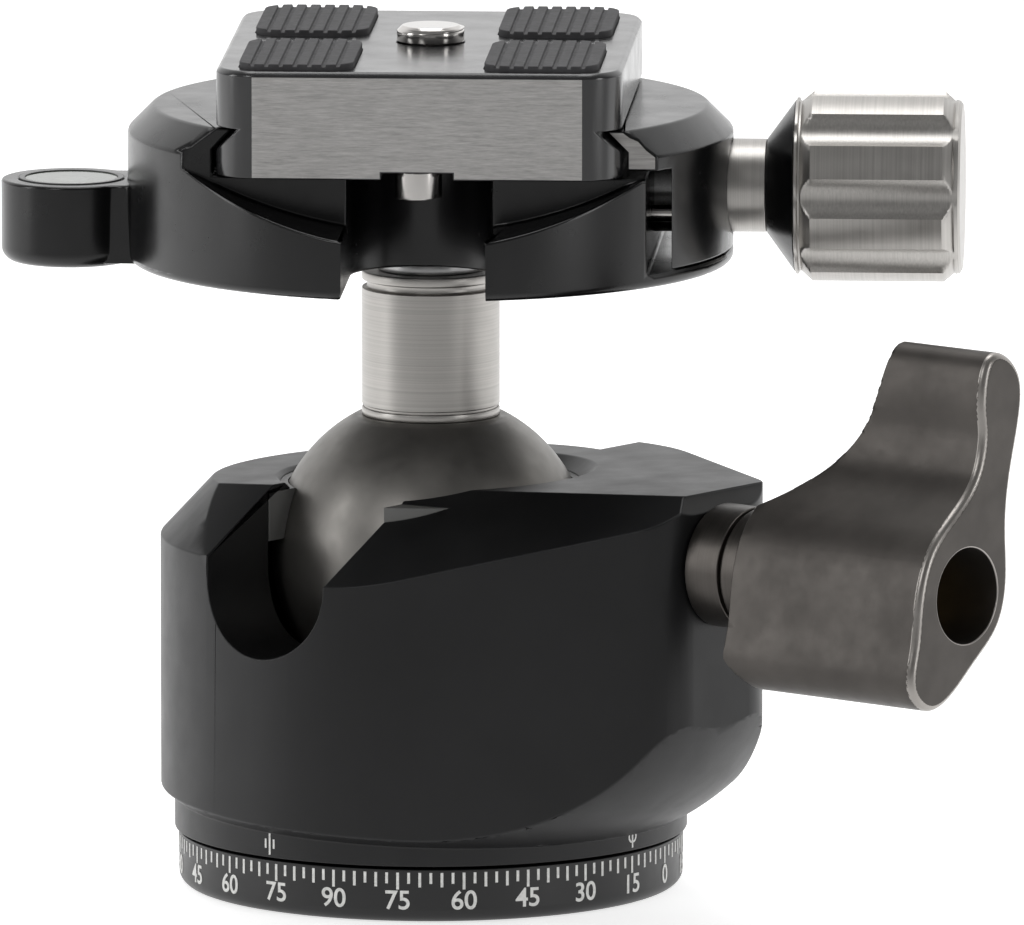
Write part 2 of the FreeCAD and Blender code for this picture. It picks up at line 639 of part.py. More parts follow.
def make_pan_screw():
    start = HUB_RADIUS + RUN_GAP + PAN_SHOE_LENGTH + FIXED_GAP
    solid = cyl_x(PAN_SCREW_RADIUS, start, PAN_KNOB_START + PAN_SCREW_SEAT, 0, PAN_Z)
    collar_start = BODY_RADIUS + FACE_GAP
    solid = solid.fuse(cyl_x(PAN_COLLAR_RADIUS, collar_start, PAN_KNOB_START - FIXED_GAP, 0, PAN_Z))
    return turned(solid, PAN_AZIMUTH_DEG)


def make_pan_knob():
    end = PAN_KNOB_START + PAN_KNOB_LENGTH
    solid = cyl_x(PAN_KNOB_RADIUS, PAN_KNOB_START, end, 0, PAN_Z)
    solid = solid.makeChamfer(KNOB_CHAMFER, edges_at_x(solid, PAN_KNOB_START) + edges_at_x(solid, end))
    for i in range(PAN_KNOB_FLUTES):
        flute = cyl_x(PAN_FLUTE_RADIUS, 0, CLEAR, PAN_KNOB_RADIUS + PAN_FLUTE_RADIUS / 2, PAN_Z)
        flute.rotate(V(0, 0, PAN_Z), V(1, 0, 0), 360.0 / PAN_KNOB_FLUTES * i)
        solid = solid.cut(flute)
    hole = cyl_x(PAN_SCREW_RADIUS + FIXED_GAP, 0, PAN_KNOB_START + PAN_SCREW_SEAT + FIXED_GAP, 0, PAN_Z)
    return turned(solid.cut(hole), PAN_AZIMUTH_DEG)


def make_ball():
    solid = ball(BALL_RADIUS).cut(cyl(CLEAR, FLAT_Z, CLEAR))
    return solid.cut(cyl(TANG_RADIUS + RUN_GAP, FLAT_Z - TANG_LENGTH - FACE_GAP, CLEAR))


def make_stem():
    solid = cyl(STEM_RADIUS, FLAT_Z, STEM_TOP_Z)
    groove_top = STEM_TOP_Z - STEM_FLANGE
    groove = tube(STEM_RADIUS - STEM_GROOVE_DEPTH, STEM_RADIUS + PAST, groove_top - STEM_GROOVE_WIDTH,
                  groove_top)
    solid = solid.cut(groove)
    solid = solid.fuse(cyl(TANG_RADIUS, FLAT_Z - TANG_LENGTH, FLAT_Z + PAST)).removeSplitter()
    lip = tube(STEM_RADIUS - STEM_LINE, STEM_RADIUS + PAST, FLAT_Z + STEM_LIP, FLAT_Z + STEM_LIP + STEM_LINE)
    solid = solid.cut(lip)
    return solid.cut(cyl(FIXING_SCREW_RADIUS + FIXED_GAP, STEM_TOP_Z - FIXING_HOLE_DEPTH, CLEAR))


def make_spacer():
    return tube(FIXING_SCREW_RADIUS + FIXED_GAP, SPACER_RADIUS, STEM_TOP_Z, STEM_TOP_Z + SPACER_THICKNESS)


def clamp_disc():
    """The round outline that the clamp base and the moving jaw share."""
    solid = cyl(CLAMP_RADIUS, CLAMP_BOTTOM_Z, CLAMP_TOP_Z)
    solid = solid.makeChamfer(CLAMP_TOP_CHAMFER, edges_at_z(solid, CLAMP_TOP_Z))
    return solid.makeFillet(CLAMP_BOTTOM_EDGE, edges_at_z(solid, CLAMP_BOTTOM_Z))


def make_lug():
    """Lug of the level: a round end on a narrower neck, with a soft lower edge."""
    solid = cyl(LUG_RADIUS, LUG_BOTTOM_Z, LUG_TOP_Z, LUG_X)
    solid = solid.makeFillet(LUG_EDGE, edges_at_z(solid, LUG_BOTTOM_Z))
    neck = box(LUG_X, LUG_ROOT - CLAMP_RADIUS, -LUG_WAIST, LUG_WAIST, CLAMP_BOTTOM_Z, LUG_TOP_Z)
    return solid.fuse(neck)


def dovetail_space(far_x):
    """Section of the space between the jaws, up to far_x on the moving side, as (x, z) points."""
    over = CLAMP_TOP_Z + PAST
    return [(-CHANNEL_HALF, FLOOR_Z), (-CHANNEL_HALF, JAW_KNEE_Z), (-JAW_TIP_X, CLAMP_TOP_Z),
            (-JAW_TIP_X, over), (far_x, over), (far_x, FLOOR_Z)]


def make_clamp_base():
    solid = clamp_disc().fuse(make_lug())
    solid = solid.cut(polygon_along_y(dovetail_space(CLEAR), -CLEAR, CLEAR))
    lip_top = JAW_BOTTOM_Z - BASE_LIP_GAP
    solid = solid.cut(box(JAW_GAP_X, CLEAR, -CLEAR, CLEAR, lip_top, CLEAR + CLAMP_TOP_Z))
    # scoop across the front
    scoop = Part.makeCylinder(SCOOP_RADIUS, CLEAR, V(0, -CLEAR, SCOOP_BOTTOM_Z + SCOOP_RADIUS), V(0, 1, 0))
    scoop = scoop.common(box(-CLEAR, CLEAR, -CLEAR, JAW_FRONT_Y, 0, 2 * CLEAR))
    solid = solid.cut(scoop)
    # front notch and rear channel, where the plate's stop pins pass
    half = FRONT_NOTCH_WIDTH / 2
    solid = solid.cut(box(-half, half, -CLEAR, FRONT_NOTCH_END_Y - half, 0, 2 * CLEAR))
    solid = solid.cut(cyl(half, 0, 2 * CLEAR, 0, FRONT_NOTCH_END_Y - half))
    reach = STOP_PIN_RADIUS + NOTCH_GAP
    channel_low = FLOOR_Z - REAR_CHANNEL_DEPTH
    solid = solid.cut(box(-reach, reach, -FRONT_NOTCH_END_Y + reach, CLEAR, channel_low, 2 * CLEAR))
    solid = solid.cut(cyl(reach, channel_low, 2 * CLEAR, 0, -FRONT_NOTCH_END_Y + reach))
    # screw that fastens it on the stem
    solid = solid.cut(cyl(FIXING_SCREW_RADIUS + FIXED_GAP, 0, 2 * CLEAR))
    solid = solid.cut(cyl(FIXING_HEAD_RADIUS + RUN_GAP, HEAD_SEAT_Z, 2 * CLEAR))
    # clamp screw, its spring and the guide pins
    thread_start = CLAMP_THREAD_START_X - FACE_GAP
    solid = solid.cut(cyl_x(CLAMP_THREAD_RADIUS + RUN_GAP, thread_start, CLEAR, 0, SCREW_Z))
    solid = solid.cut(cyl_x(SPRING_OUTER + RUN_GAP, SPRING_START_X - FIXED_GAP, CLEAR, 0, SCREW_Z)
                      .common(box(0, CLEAR, -CLEAR, CLEAR, 0, FLOOR_Z - SPRING_ROOF)))
    for side in (-1, 1):
        pin = cyl_x(GUIDE_PIN_RADIUS + RUN_GAP, GUIDE_PIN_START_X - FACE_GAP, CLEAR, side * GUIDE_PIN_Y,
                    GUIDE_PIN_Z)
        solid = solid.cut(pin)
    # pocket of the level
    return solid.cut(cyl(BEZEL_RADIUS + FIXED_GAP, LUG_TOP_Z - VIAL_DEPTH, CLEAR + CLAMP_TOP_Z, LUG_X))


def make_moving_jaw():
    over = CLAMP_TOP_Z + PAST
    section = [(JAW_TIP_X, over), (JAW_TIP_X, CLAMP_TOP_Z), (CHANNEL_HALF, JAW_KNEE_Z),
               (CHANNEL_HALF, LIP_BOTTOM_Z), (JAW_FACE_X, LIP_BOTTOM_Z), (JAW_FACE_X, JAW_BOTTOM_Z),
               (CLEAR, JAW_BOTTOM_Z), (CLEAR, over)]
    solid = clamp_disc().common(polygon_along_y(section, JAW_FRONT_Y, CLEAR))
    flat = cyl_x(SHAFT_RADIUS + NOTCH_GAP / 2, SHAFT_START_X, CLEAR, 0, SCREW_Z)
    solid = solid.cut(flat)
    solid = solid.cut(cyl_x(CLAMP_THREAD_RADIUS + RUN_GAP, 0, CLEAR, 0, SCREW_Z))
    for side in (-1, 1):
        pin = cyl_x(GUIDE_PIN_RADIUS + FIXED_GAP, 0, GUIDE_PIN_END_X + FIXED_GAP, side * GUIDE_PIN_Y,
                    GUIDE_PIN_Z)
        solid = solid.cut(pin)
    return solid


def make_fixing_screw():
    top = HEAD_SEAT_Z + FIXING_HEAD_HEIGHT
    solid = cyl(FIXING_SCREW_RADIUS, STEM_TOP_Z - FIXING_SCREW_REACH, HEAD_SEAT_Z + PAST)
    solid = solid.fuse(cyl(FIXING_HEAD_RADIUS, HEAD_SEAT_Z, top)).removeSplitter()
    angles = [math.radians(60 * i) for i in range(6)]
    corners = [V(FIXING_HEX * math.cos(a), FIXING_HEX * math.sin(a), top - FIXING_HEX_DEPTH) for a in angles]
    socket = Part.Face(Part.makePolygon(corners + corners[:1])).extrude(V(0, 0, FIXING_HEX_DEPTH + PAST))
    return solid.cut(socket)


def make_guide_pins():
    """Pressed in the moving jaw; they slide in the clamp base."""
    pins = [cyl_x(GUIDE_PIN_RADIUS, GUIDE_PIN_START_X, GUIDE_PIN_END_X, side * GUIDE_PIN_Y, GUIDE_PIN_Z)
            for side in (-1, 1)]
    return Part.Compound(pins)


def make_return_spring():
    """Stands in for the coil spring that opens the jaw, round the clamp screw."""
    solid = tube_x(CLAMP_THREAD_RADIUS + 2 * RUN_GAP, SPRING_OUTER, SPRING_START_X, JAW_FACE_X - FIXED_GAP,
                   SCREW_Z)
    return solid.common(box(0, CLEAR, -CLEAR, CLEAR, 0, FLOOR_Z - SPRING_ROOF - RUN_GAP))


def make_clamp_screw():
    solid = cyl_x(CLAMP_THREAD_RADIUS, CLAMP_THREAD_START_X, KNOB_START_X + KNOB_SEAT, 0, SCREW_Z)
    shaft = cyl_x(SHAFT_RADIUS, SHAFT_START_X + FIXED_GAP, CONE_START_X, 0, SCREW_Z)
    return solid.fuse(shaft).removeSplitter()


def make_knob_cone():
    foot = V(CONE_START_X, 0, SCREW_Z)
    cone = Part.makeCone(SHAFT_RADIUS, CONE_END_RADIUS, CONE_LENGTH, foot, V(1, 0, 0))
    return cone.cut(cyl_x(CLAMP_THREAD_RADIUS + FIXED_GAP, 0, CLEAR, 0, SCREW_Z))


def make_clamp_knob():
    solid = cyl_x(KNOB_RADIUS, KNOB_START_X, KNOB_END_X, 0, SCREW_Z)
    solid = solid.makeChamfer(KNOB_CHAMFER, edges_at_x(solid, KNOB_START_X) + edges_at_x(solid, KNOB_END_X))
    start = KNOB_START_X + FLUTE_END_MARGIN + FLUTE_RADIUS
    end = KNOB_END_X - FLUTE_END_MARGIN - FLUTE_RADIUS
    centre = KNOB_RADIUS - FLUTE_DEPTH + FLUTE_RADIUS
    for i in range(KNOB_FLUTES):
        y = -centre
        flute = cyl_x(FLUTE_RADIUS, start, end, y, SCREW_Z)
        flute = flute.fuse(Part.makeSphere(FLUTE_RADIUS, V(start, y, SCREW_Z)))
        flute = flute.fuse(Part.makeSphere(FLUTE_RADIUS, V(end, y, SCREW_Z)))
        flute.rotate(V(0, 0, SCREW_Z), V(1, 0, 0), 360.0 / KNOB_FLUTES * i)
        solid = solid.cut(flute)
    for x in (KNOB_START_X + KNOB_RING_MARGIN, KNOB_END_X - KNOB_RING_MARGIN - KNOB_RING_WIDTH):
        ring = tube_x(KNOB_RADIUS - KNOB_RING_DEPTH, KNOB_RADIUS + PAST, x, x + KNOB_RING_WIDTH, SCREW_Z)
        solid = solid.cut(ring)
    seat_end = KNOB_START_X + KNOB_SEAT + FIXED_GAP
    return solid.cut(cyl_x(CLAMP_THREAD_RADIUS + FIXED_GAP, 0, seat_end, 0, SCREW_Z))


def make_level_bezel():
    inner = BEZEL_RADIUS - BEZEL_WALL
    return tube(inner, BEZEL_RADIUS, LUG_TOP_Z - VIAL_DEPTH, LUG_TOP_Z + BEZEL_PROUD, LUG_X)


def bubble_shape(radius, height):
    shape = Part.makeSphere(radius)
    matrix = FreeCAD.Matrix()
    matrix.scale(1, 1, height / (2 * radius))
    shape = shape.transformGeometry(matrix)
    shape.translate(V(LUG_X, 0, LUG_TOP_Z - BUBBLE_DEPTH))
    return shape


def make_level_vial():
    solid = cyl(BEZEL_RADIUS - BEZEL_WALL - FIXED_GAP, LUG_TOP_Z - VIAL_DEPTH, LUG_TOP_Z, LUG_X)
    return solid.cut(bubble_shape(BUBBLE_RADIUS + RUN_GAP, BUBBLE_HEIGHT + 2 * RUN_GAP))


def make_level_bubble():
    return bubble_shape(BUBBLE_RADIUS, BUBBLE_HEIGHT)


def plate_section():
    """Half of the plate's section as (x, z) points, from the middle outwards and up."""
    half = PLATE_WIDTH / 2
    knee = PLATE_BOTTOM_Z + DOVETAIL_FLANGE
    top = knee + DOVETAIL_DEPTH
    return [(0, PLATE_BOTTOM_Z), (half, PLATE_BOTTOM_Z), (half, knee), (half - DOVETAIL_DEPTH, top),
            (half, top), (half, PLATE_TOP_Z), (0, PLATE_TOP_Z)]


def rounded_block(x0, x1, y0, y1, z0, z1, corner):
    block = box(x0, x1, y0, y1, z0, z1)
    upright = [e for e in block.Edges if abs(e.BoundBox.ZLength - (z1 - z0)) < 1e-6]
    return block.makeFillet(corner, upright)


def pad_places():
    return [(sx, sy) for sx in (-1, 1) for sy in (-1, 1)]


def pad_block(sx, sy, z0, z1, extra):
    x0, x1 = sorted((sx * (PAD_X - extra), sx * (PAD_X + PAD_WIDTH + extra)))
    y0, y1 = sorted((sy * (PAD_Y - extra), sy * (PAD_Y + PAD_LENGTH + extra)))
    return rounded_block(x0, x1, y0, y1, z0, z1, PAD_CORNER)


def make_camera_plate():
    half = plate_section()
    section = half + [(-x, z) for x, z in reversed(half[1:-1])]
    half_length = PLATE_LENGTH / 2
    solid = polygon_along_y(section, -half_length, half_length)
    half_width = PLATE_WIDTH / 2
    outline = rounded_block(-half_width, half_width, -half_length, half_length, PLATE_BOTTOM_Z, PLATE_TOP_Z,
                            PLATE_CORNER)
    outline = outline.makeChamfer(PLATE_EDGE, edges_at_z(outline, PLATE_TOP_Z))
    solid = solid.common(outline)
    slot = PLATE_SLOT_WIDTH / 2
    solid = solid.cut(box(-slot, slot, -CLEAR, CLEAR, 0, PLATE_BOTTOM_Z + PLATE_SLOT_DEPTH))
    solid = solid.cut(cyl(CAMERA_THREAD_RADIUS + RUN_GAP, 0, 2 * CLEAR))
    solid = solid.cut(cyl(CAMERA_HEAD_RADIUS + 2 * RUN_GAP, 0, CLIP_Z + CLIP_THICKNESS))
    for side in (-1, 1):
        top = STOP_SEAT_Z + STOP_STUD_LENGTH + FIXED_GAP
        stud = cyl(STOP_STUD_RADIUS + FIXED_GAP, 0, top, 0, side * STOP_PIN_Y)
        solid = solid.cut(stud)
    for sx, sy in pad_places():
        solid = solid.cut(pad_block(sx, sy, PLATE_TOP_Z - PAD_RECESS, PLATE_TOP_Z + PAST, FIXED_GAP))
    return solid


def make_rubber_pads():
    """Four pads with ribs that run fore and aft, sunk a little into the plate."""
    pads = []
    top = PLATE_TOP_Z + PAD_HEIGHT
    for sx, sy in pad_places():
        pad = pad_block(sx, sy, PLATE_TOP_Z - PAD_RECESS, top, 0.0)
        step = PAD_WIDTH / (PAD_GROOVES + 1)
        for i in range(PAD_GROOVES):
            x = sx * (PAD_X + step * (i + 1))
            pad = pad.cut(box(x - PAD_GROOVE_WIDTH / 2, x + PAD_GROOVE_WIDTH / 2, -CLEAR, CLEAR,
                              top - PAD_GROOVE_DEPTH, top + PAST))
        pads.append(pad)
    return Part.Compound(pads)


def make_camera_screw():
    """A thinner shank lets the screw float in the plate, and only its end is threaded."""
    thread_start = PLATE_TOP_Z + CAMERA_SHANK_PROUD
    solid = cyl(CAMERA_THREAD_RADIUS, thread_start, CAMERA_THREAD_TIP_Z)
    solid = solid.makeChamfer(CAMERA_TIP_CHAMFER, edges_at_z(solid, CAMERA_THREAD_TIP_Z))
    solid = solid.fuse(cyl(CAMERA_SHANK_RADIUS, CAMERA_HEAD_Z + PAST, thread_start))
    head = cyl(CAMERA_HEAD_RADIUS, CAMERA_HEAD_Z, CAMERA_HEAD_Z + CAMERA_HEAD_HEIGHT)
    solid = solid.fuse(head).removeSplitter()
    half = CAMERA_SLOT_WIDTH / 2
    return solid.cut(box(-CLEAR, CLEAR, -half, half, 0, CAMERA_HEAD_Z + CAMERA_SLOT_DEPTH))


def make_screw_clip():
    outer = CAMERA_HEAD_RADIUS + 2 * RUN_GAP - FIXED_GAP
    return tube(CAMERA_THREAD_RADIUS + RUN_GAP, outer, CLIP_Z, CLIP_Z + CLIP_THICKNESS)


def make_stop_pins():
    pins = []
    for side in (-1, 1):
        y = side * STOP_PIN_Y
        pin = cyl(STOP_PIN_RADIUS, STOP_SEAT_Z - STOP_PIN_LENGTH, STOP_SEAT_Z, 0, y)
        stud = cyl(STOP_STUD_RADIUS, STOP_SEAT_Z - PAST, STOP_SEAT_Z + STOP_STUD_LENGTH, 0, y)
        pins.append(pin.fuse(stud).removeSplitter())
    return Part.Compound(pins)


PIECES = {
    "panning_base": make_panning_base,
    "thrust_washer": make_thrust_washer,
    "retaining_ring": make_retaining_ring,
    "retaining_screws": make_retainer_screws,
    "housing": make_housing,
    "bottom_cover": make_bottom_cover,
    "seat_carrier": make_seat_carrier,
    "upper_seat_ring": make_seat_ring,
    "lock_bush": make_lock_bush,
    "brake_shoe": make_brake_shoe,
    "lock_spindle": make_lock_spindle,
    "lock_collar": make_lock_collar,
    "lock_knob": make_lock_knob,
    "friction_spring": make_friction_spring,
    "friction_screw": make_friction_screw,
    "pan_shoe": make_pan_shoe,
    "pan_screw": make_pan_screw,
    "pan_knob": make_pan_knob,
    "ball_cup": make_ball_cup,
    "ball": make_ball,
    "stem": make_stem,
    "spacer_washer": make_spacer,
    "clamp_base": make_clamp_base,
    "fixing_screw": make_fixing_screw,
    "guide_pins": make_guide_pins,
    "return_spring": make_return_spring,
    "level_bezel": make_level_bezel,
    "level_vial": make_level_vial,
    "level_bubble": make_level_bubble,
    "moving_jaw": make_moving_jaw,
    "clamp_screw": make_clamp_screw,
    "knob_cone": make_knob_cone,
    "clamp_knob": make_clamp_knob,
    "camera_plate": make_camera_plate,
    "rubber_pads": make_rubber_pads,
    "camera_screw": make_camera_screw,
    "screw_clip": make_screw_clip,
    "stop_pins": make_stop_pins,
}


def main():
    os.makedirs("parts", exist_ok=True)
    for name, make in PIECES.items():
        shape = make()
        shape.exportStep("parts/" + name + ".step")
        print(name, "solids", len(shape.Solids), "valid", shape.isValid(), "volume", round(shape.Volume, 1))


main()
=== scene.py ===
import json
import math

import bmesh
import bpy
from bpy.props import FloatProperty, FloatVectorProperty, IntProperty, PointerProperty
from mathutils import Euler, Matrix, Vector


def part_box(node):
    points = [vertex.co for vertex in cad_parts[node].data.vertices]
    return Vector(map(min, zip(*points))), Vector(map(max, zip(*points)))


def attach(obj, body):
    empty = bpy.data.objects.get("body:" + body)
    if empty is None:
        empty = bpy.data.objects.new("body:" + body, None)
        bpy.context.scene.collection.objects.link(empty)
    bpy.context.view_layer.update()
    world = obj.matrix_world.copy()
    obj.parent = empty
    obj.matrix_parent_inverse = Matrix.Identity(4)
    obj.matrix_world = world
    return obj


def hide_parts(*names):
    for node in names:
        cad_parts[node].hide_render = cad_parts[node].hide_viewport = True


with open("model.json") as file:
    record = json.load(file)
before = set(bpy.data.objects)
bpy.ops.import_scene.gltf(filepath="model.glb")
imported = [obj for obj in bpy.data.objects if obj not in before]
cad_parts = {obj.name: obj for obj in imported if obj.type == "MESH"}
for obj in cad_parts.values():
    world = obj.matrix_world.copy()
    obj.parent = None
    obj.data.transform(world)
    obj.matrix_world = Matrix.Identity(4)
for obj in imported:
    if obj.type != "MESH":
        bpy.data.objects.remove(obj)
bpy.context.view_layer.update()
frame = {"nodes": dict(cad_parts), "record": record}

bl_info = {
    "name": "Tripod Ball Head",
    "version": (1, 0, 0),
    "blender": (4, 5, 0),
    "location": "View3D > Sidebar > Ball Head",
    "description": "Dresses a machined tripod ball head and sets it in a small studio",
    "category": "Object",
}

RECORD = frame["record"]
BODY_OF = {node: body for body, nodes in RECORD["behaviour"]["bodies"].items() for node in nodes}

# Places read from the frame, in metres
RING_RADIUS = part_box("panning_base")[1].x
SKIRT_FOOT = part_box("bottom_cover")[0].z
PLATE_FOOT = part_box("camera_plate")[0].z
SCREW_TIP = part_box("camera_screw")[1].z
CLAMP_SCREW_LOW, CLAMP_SCREW_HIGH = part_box("clamp_screw")
CLAMP_AXIS = Vector((0.0, 0.0, (CLAMP_SCREW_LOW.z + CLAMP_SCREW_HIGH.z) / 2))
SPRING_LOW, SPRING_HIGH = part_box("friction_spring")
LOCK_TURN = next(j for j in RECORD["behaviour"]["joints"] if j["name"] == "lock_turn")
LOCK_AXIS = Vector(LOCK_TURN["axis"])
LOCK_PLACE = Vector(LOCK_TURN["pos_m"])

# Colours of the pieces that the settings don't list
PLATE_BLACK = (0.012, 0.012, 0.013)
PLATE_END = (0.5, 0.49, 0.48)
JAW_END = (0.4, 0.39, 0.38)
KNOB_EDGE = (0.36, 0.34, 0.32)
STEEL = (0.45, 0.45, 0.45)
BRASS = (0.62, 0.46, 0.2)
CHROME = (0.62, 0.6, 0.58)
ALUMINIUM = (0.55, 0.55, 0.56)
WHITE_PLASTIC = (0.72, 0.72, 0.7)
SEAT_GREY = (0.13, 0.13, 0.125)
LEVEL_RIM = (0.05, 0.05, 0.05)
LEVEL_GLASS = (0.42, 0.46, 0.4)
LEVEL_AIR = (0.85, 0.88, 0.85)
FLOOR = (0.78, 0.78, 0.78)

# Small sizes of the added work, in metres
FLOOR_DROP = 0.00005
MERGE_GAP = 0.000002
SHORTEST_EDGE = 0.0000001
NUMERAL_SPREAD = 0.00003
MARK_LIFT = 0.0003
BRIGHT_RIM_WIDTH = 0.00071
COIL_WIRE = 0.00035
THREAD_RADIUS = 0.003195
THREAD_LENGTH = 0.0013
THREAD_PITCH = 0.00127
THREAD_DEPTH = 0.0004
THREAD_END = 0.0002
LOBE_ROUNDING = 0.0013
LOBE_LEAN = 0.00002
LOBE_HEIGHT = 0.002
NOTCH_FRONT = -0.024
NOTCH_REACH = 0.01
MILLED_SIDE = 0.0165
MILLED_FOOT = 0.0655
MILLED_FRONT = -0.015
PLATE_END_FOOT = 0.0023

# The scale's numbers, in degrees
NUMBER_STEP = 15
NUMBER_COUNT = 360 // NUMBER_STEP
NUMBER_TURN = 90

# The clamp's fluted knob: its flutes, and its turned profile from the near end to the far one, in metres
FLUTE_COUNT = 8
FLUTE_RADIUS = 0.003
FLUTE_DEPTH = 0.00085
KNOB_THROAT = 0.0080
KNOB_RIM = 0.0083
KNOB_SLOPE_START = 0.00062
KNOB_SLOPE_LENGTH = 0.00105
KNOB_LAND_START = 0.0019
KNOB_FAR_SLOPE = 0.00167
KNOB_FAR_SLOPE_LENGTH = 0.00095
KNOB_FAR_THROAT = 0.0081

# Soft lights: name, place, size in metres and brightness
LIGHTS = (
    ("top_light", (0.0, 0.15, 0.95), (0.6, 0.5), 3.0),
    ("front_light", (-0.55, -1.0, 0.7), (0.3, 0.5), 4.0),
    ("right_light", (0.95, -0.6, 0.25), (0.24, 0.7), 4.0),
    ("left_light", (-0.9, -0.25, 0.3), (0.22, 0.7), 4.0),
)
LIGHT_AIM = (0.0, 0.0, 0.045)


# Settings

class EdgeSettings(bpy.types.PropertyGroup):
    """Broken edges of the machined pieces."""

    width: FloatProperty(name="Edge Width", description="Width of a broken edge on a machined piece",
                         default=0.00013, min=0.0, unit="LENGTH", precision=5)
    segments: IntProperty(name="Edge Segments", description="Steps across a broken edge", default=2, min=1)
    sharp: FloatProperty(name="Sharp Angle", description="Edges that turn more than this are broken",
                         default=math.radians(30), subtype="ANGLE")


class ScaleSettings(bpy.types.PropertyGroup):
    """Degree scale engraved round the foot."""

    zero: FloatProperty(name="Zero Azimuth", description="Where the scale's zero stands",
                        default=math.radians(-19.1), subtype="ANGLE")
    step: FloatProperty(name="Step", description="Angle from one tick to the next",
                        default=math.radians(2.5), subtype="ANGLE")
    top: FloatProperty(name="Tick Top", description="Height of the ticks' upper ends above the floor",
                       default=0.0048, unit="LENGTH", precision=5)
    short: FloatProperty(name="Short Tick", description="Length of a 2.5 degree tick",
                         default=0.00104, unit="LENGTH", precision=5)
    medium: FloatProperty(name="Medium Tick", description="Length of a 5 degree tick",
                          default=0.00137, unit="LENGTH", precision=5)
    long: FloatProperty(name="Long Tick", description="Length of a 15 degree tick",
                        default=0.0016, unit="LENGTH", precision=5)
    width: FloatProperty(name="Tick Width", description="Width of a tick", default=0.00026, unit="LENGTH",
                         precision=5)
    numeral: FloatProperty(name="Numeral Size", description="Type size of the numbers", default=0.00252,
                           unit="LENGTH", precision=5)
    numeral_height: FloatProperty(name="Numeral Height", description="Height of the numbers' middle",
                                  default=0.0021, unit="LENGTH", precision=5)
    proud: FloatProperty(name="Fill Thickness", description="How far the filled marks stand off the metal",
                         default=0.00003, unit="LENGTH", precision=6)


class MarkSettings(bpy.types.PropertyGroup):
    """The two index marks on the housing's skirt."""

    zero_mark: FloatProperty(name="Ring Mark", description="Azimuth of the mark with a ring",
                             default=math.radians(-35.2), subtype="ANGLE")
    line_mark: FloatProperty(name="Line Mark", description="Azimuth of the mark with three lines",
                             default=math.radians(-125.2), subtype="ANGLE")
    skirt: FloatProperty(name="Skirt Radius", description="Radius of the skirt that carries the marks",
                         default=0.0242, unit="LENGTH", precision=5)
    height: FloatProperty(name="Mark Height", description="Length of a mark's long line", default=0.0021,
                          unit="LENGTH", precision=5)
    width: FloatProperty(name="Line Width", description="Width of a mark's lines", default=0.0002,
                         unit="LENGTH", precision=5)


class FinishSettings(bpy.types.PropertyGroup):
    """Colours of the metals, rubber and paint."""

    body: FloatVectorProperty(name="Body Black", description="Satin black of the housing and foot",
                              subtype="COLOR", default=(0.0055, 0.0055, 0.006))
    clamp: FloatVectorProperty(name="Clamp Black", description="Smooth black of the clamp",
                               subtype="COLOR", default=(0.0015, 0.0015, 0.0018))
    silver: FloatVectorProperty(name="Silver", description="Satin silver of the stem and clamp knob",
                                subtype="COLOR", default=(0.44, 0.425, 0.405))
    gunmetal: FloatVectorProperty(name="Gunmetal", description="Hard anodised ball",
                                  subtype="COLOR", default=(0.25, 0.24, 0.225))
    bronze: FloatVectorProperty(name="Bronze Grey", description="Anodised lock knob",
                                subtype="COLOR", default=(0.085, 0.078, 0.072))
    rubber: FloatVectorProperty(name="Rubber", description="Pads on the camera plate",
                                subtype="COLOR", default=(0.05, 0.049, 0.052))
    paint: FloatVectorProperty(name="Paint", description="Filled scale marks",
                               subtype="COLOR", default=(0.74, 0.74, 0.72))


class StudioSettings(bpy.types.PropertyGroup):
    """Camera, floor and light."""

    camera: FloatVectorProperty(name="Camera", description="Where the camera stands", subtype="TRANSLATION",
                                unit="LENGTH", default=(0.1396, -2.3082, 0.40267))
    down: FloatProperty(name="Look Down", description="How far the camera looks down",
                        default=0.1556, subtype="ANGLE")
    left: FloatProperty(name="Look Left", description="How far the camera is turned left",
                        default=0.0571, subtype="ANGLE")
    lens: FloatProperty(name="Lens", description="Focal length in millimetres on a 36 mm wide sensor",
                        default=873.0, min=1.0)
    floor: FloatProperty(name="Floor Size", description="Width of the square floor", default=16.0,
                         unit="LENGTH")
    front_glow: FloatProperty(name="Room Light", description="Strength of the room's light in front",
                              default=0.2)
    back_glow: FloatProperty(name="Back Light", description="Strength of the bright wall behind", default=1.1)


class BallHeadSettings(bpy.types.PropertyGroup):
    """All settings of the ball head."""

    edges: PointerProperty(type=EdgeSettings)
    scale: PointerProperty(type=ScaleSettings)
    marks: PointerProperty(type=MarkSettings)
    finish: PointerProperty(type=FinishSettings)
    studio: PointerProperty(type=StudioSettings)


# Materials

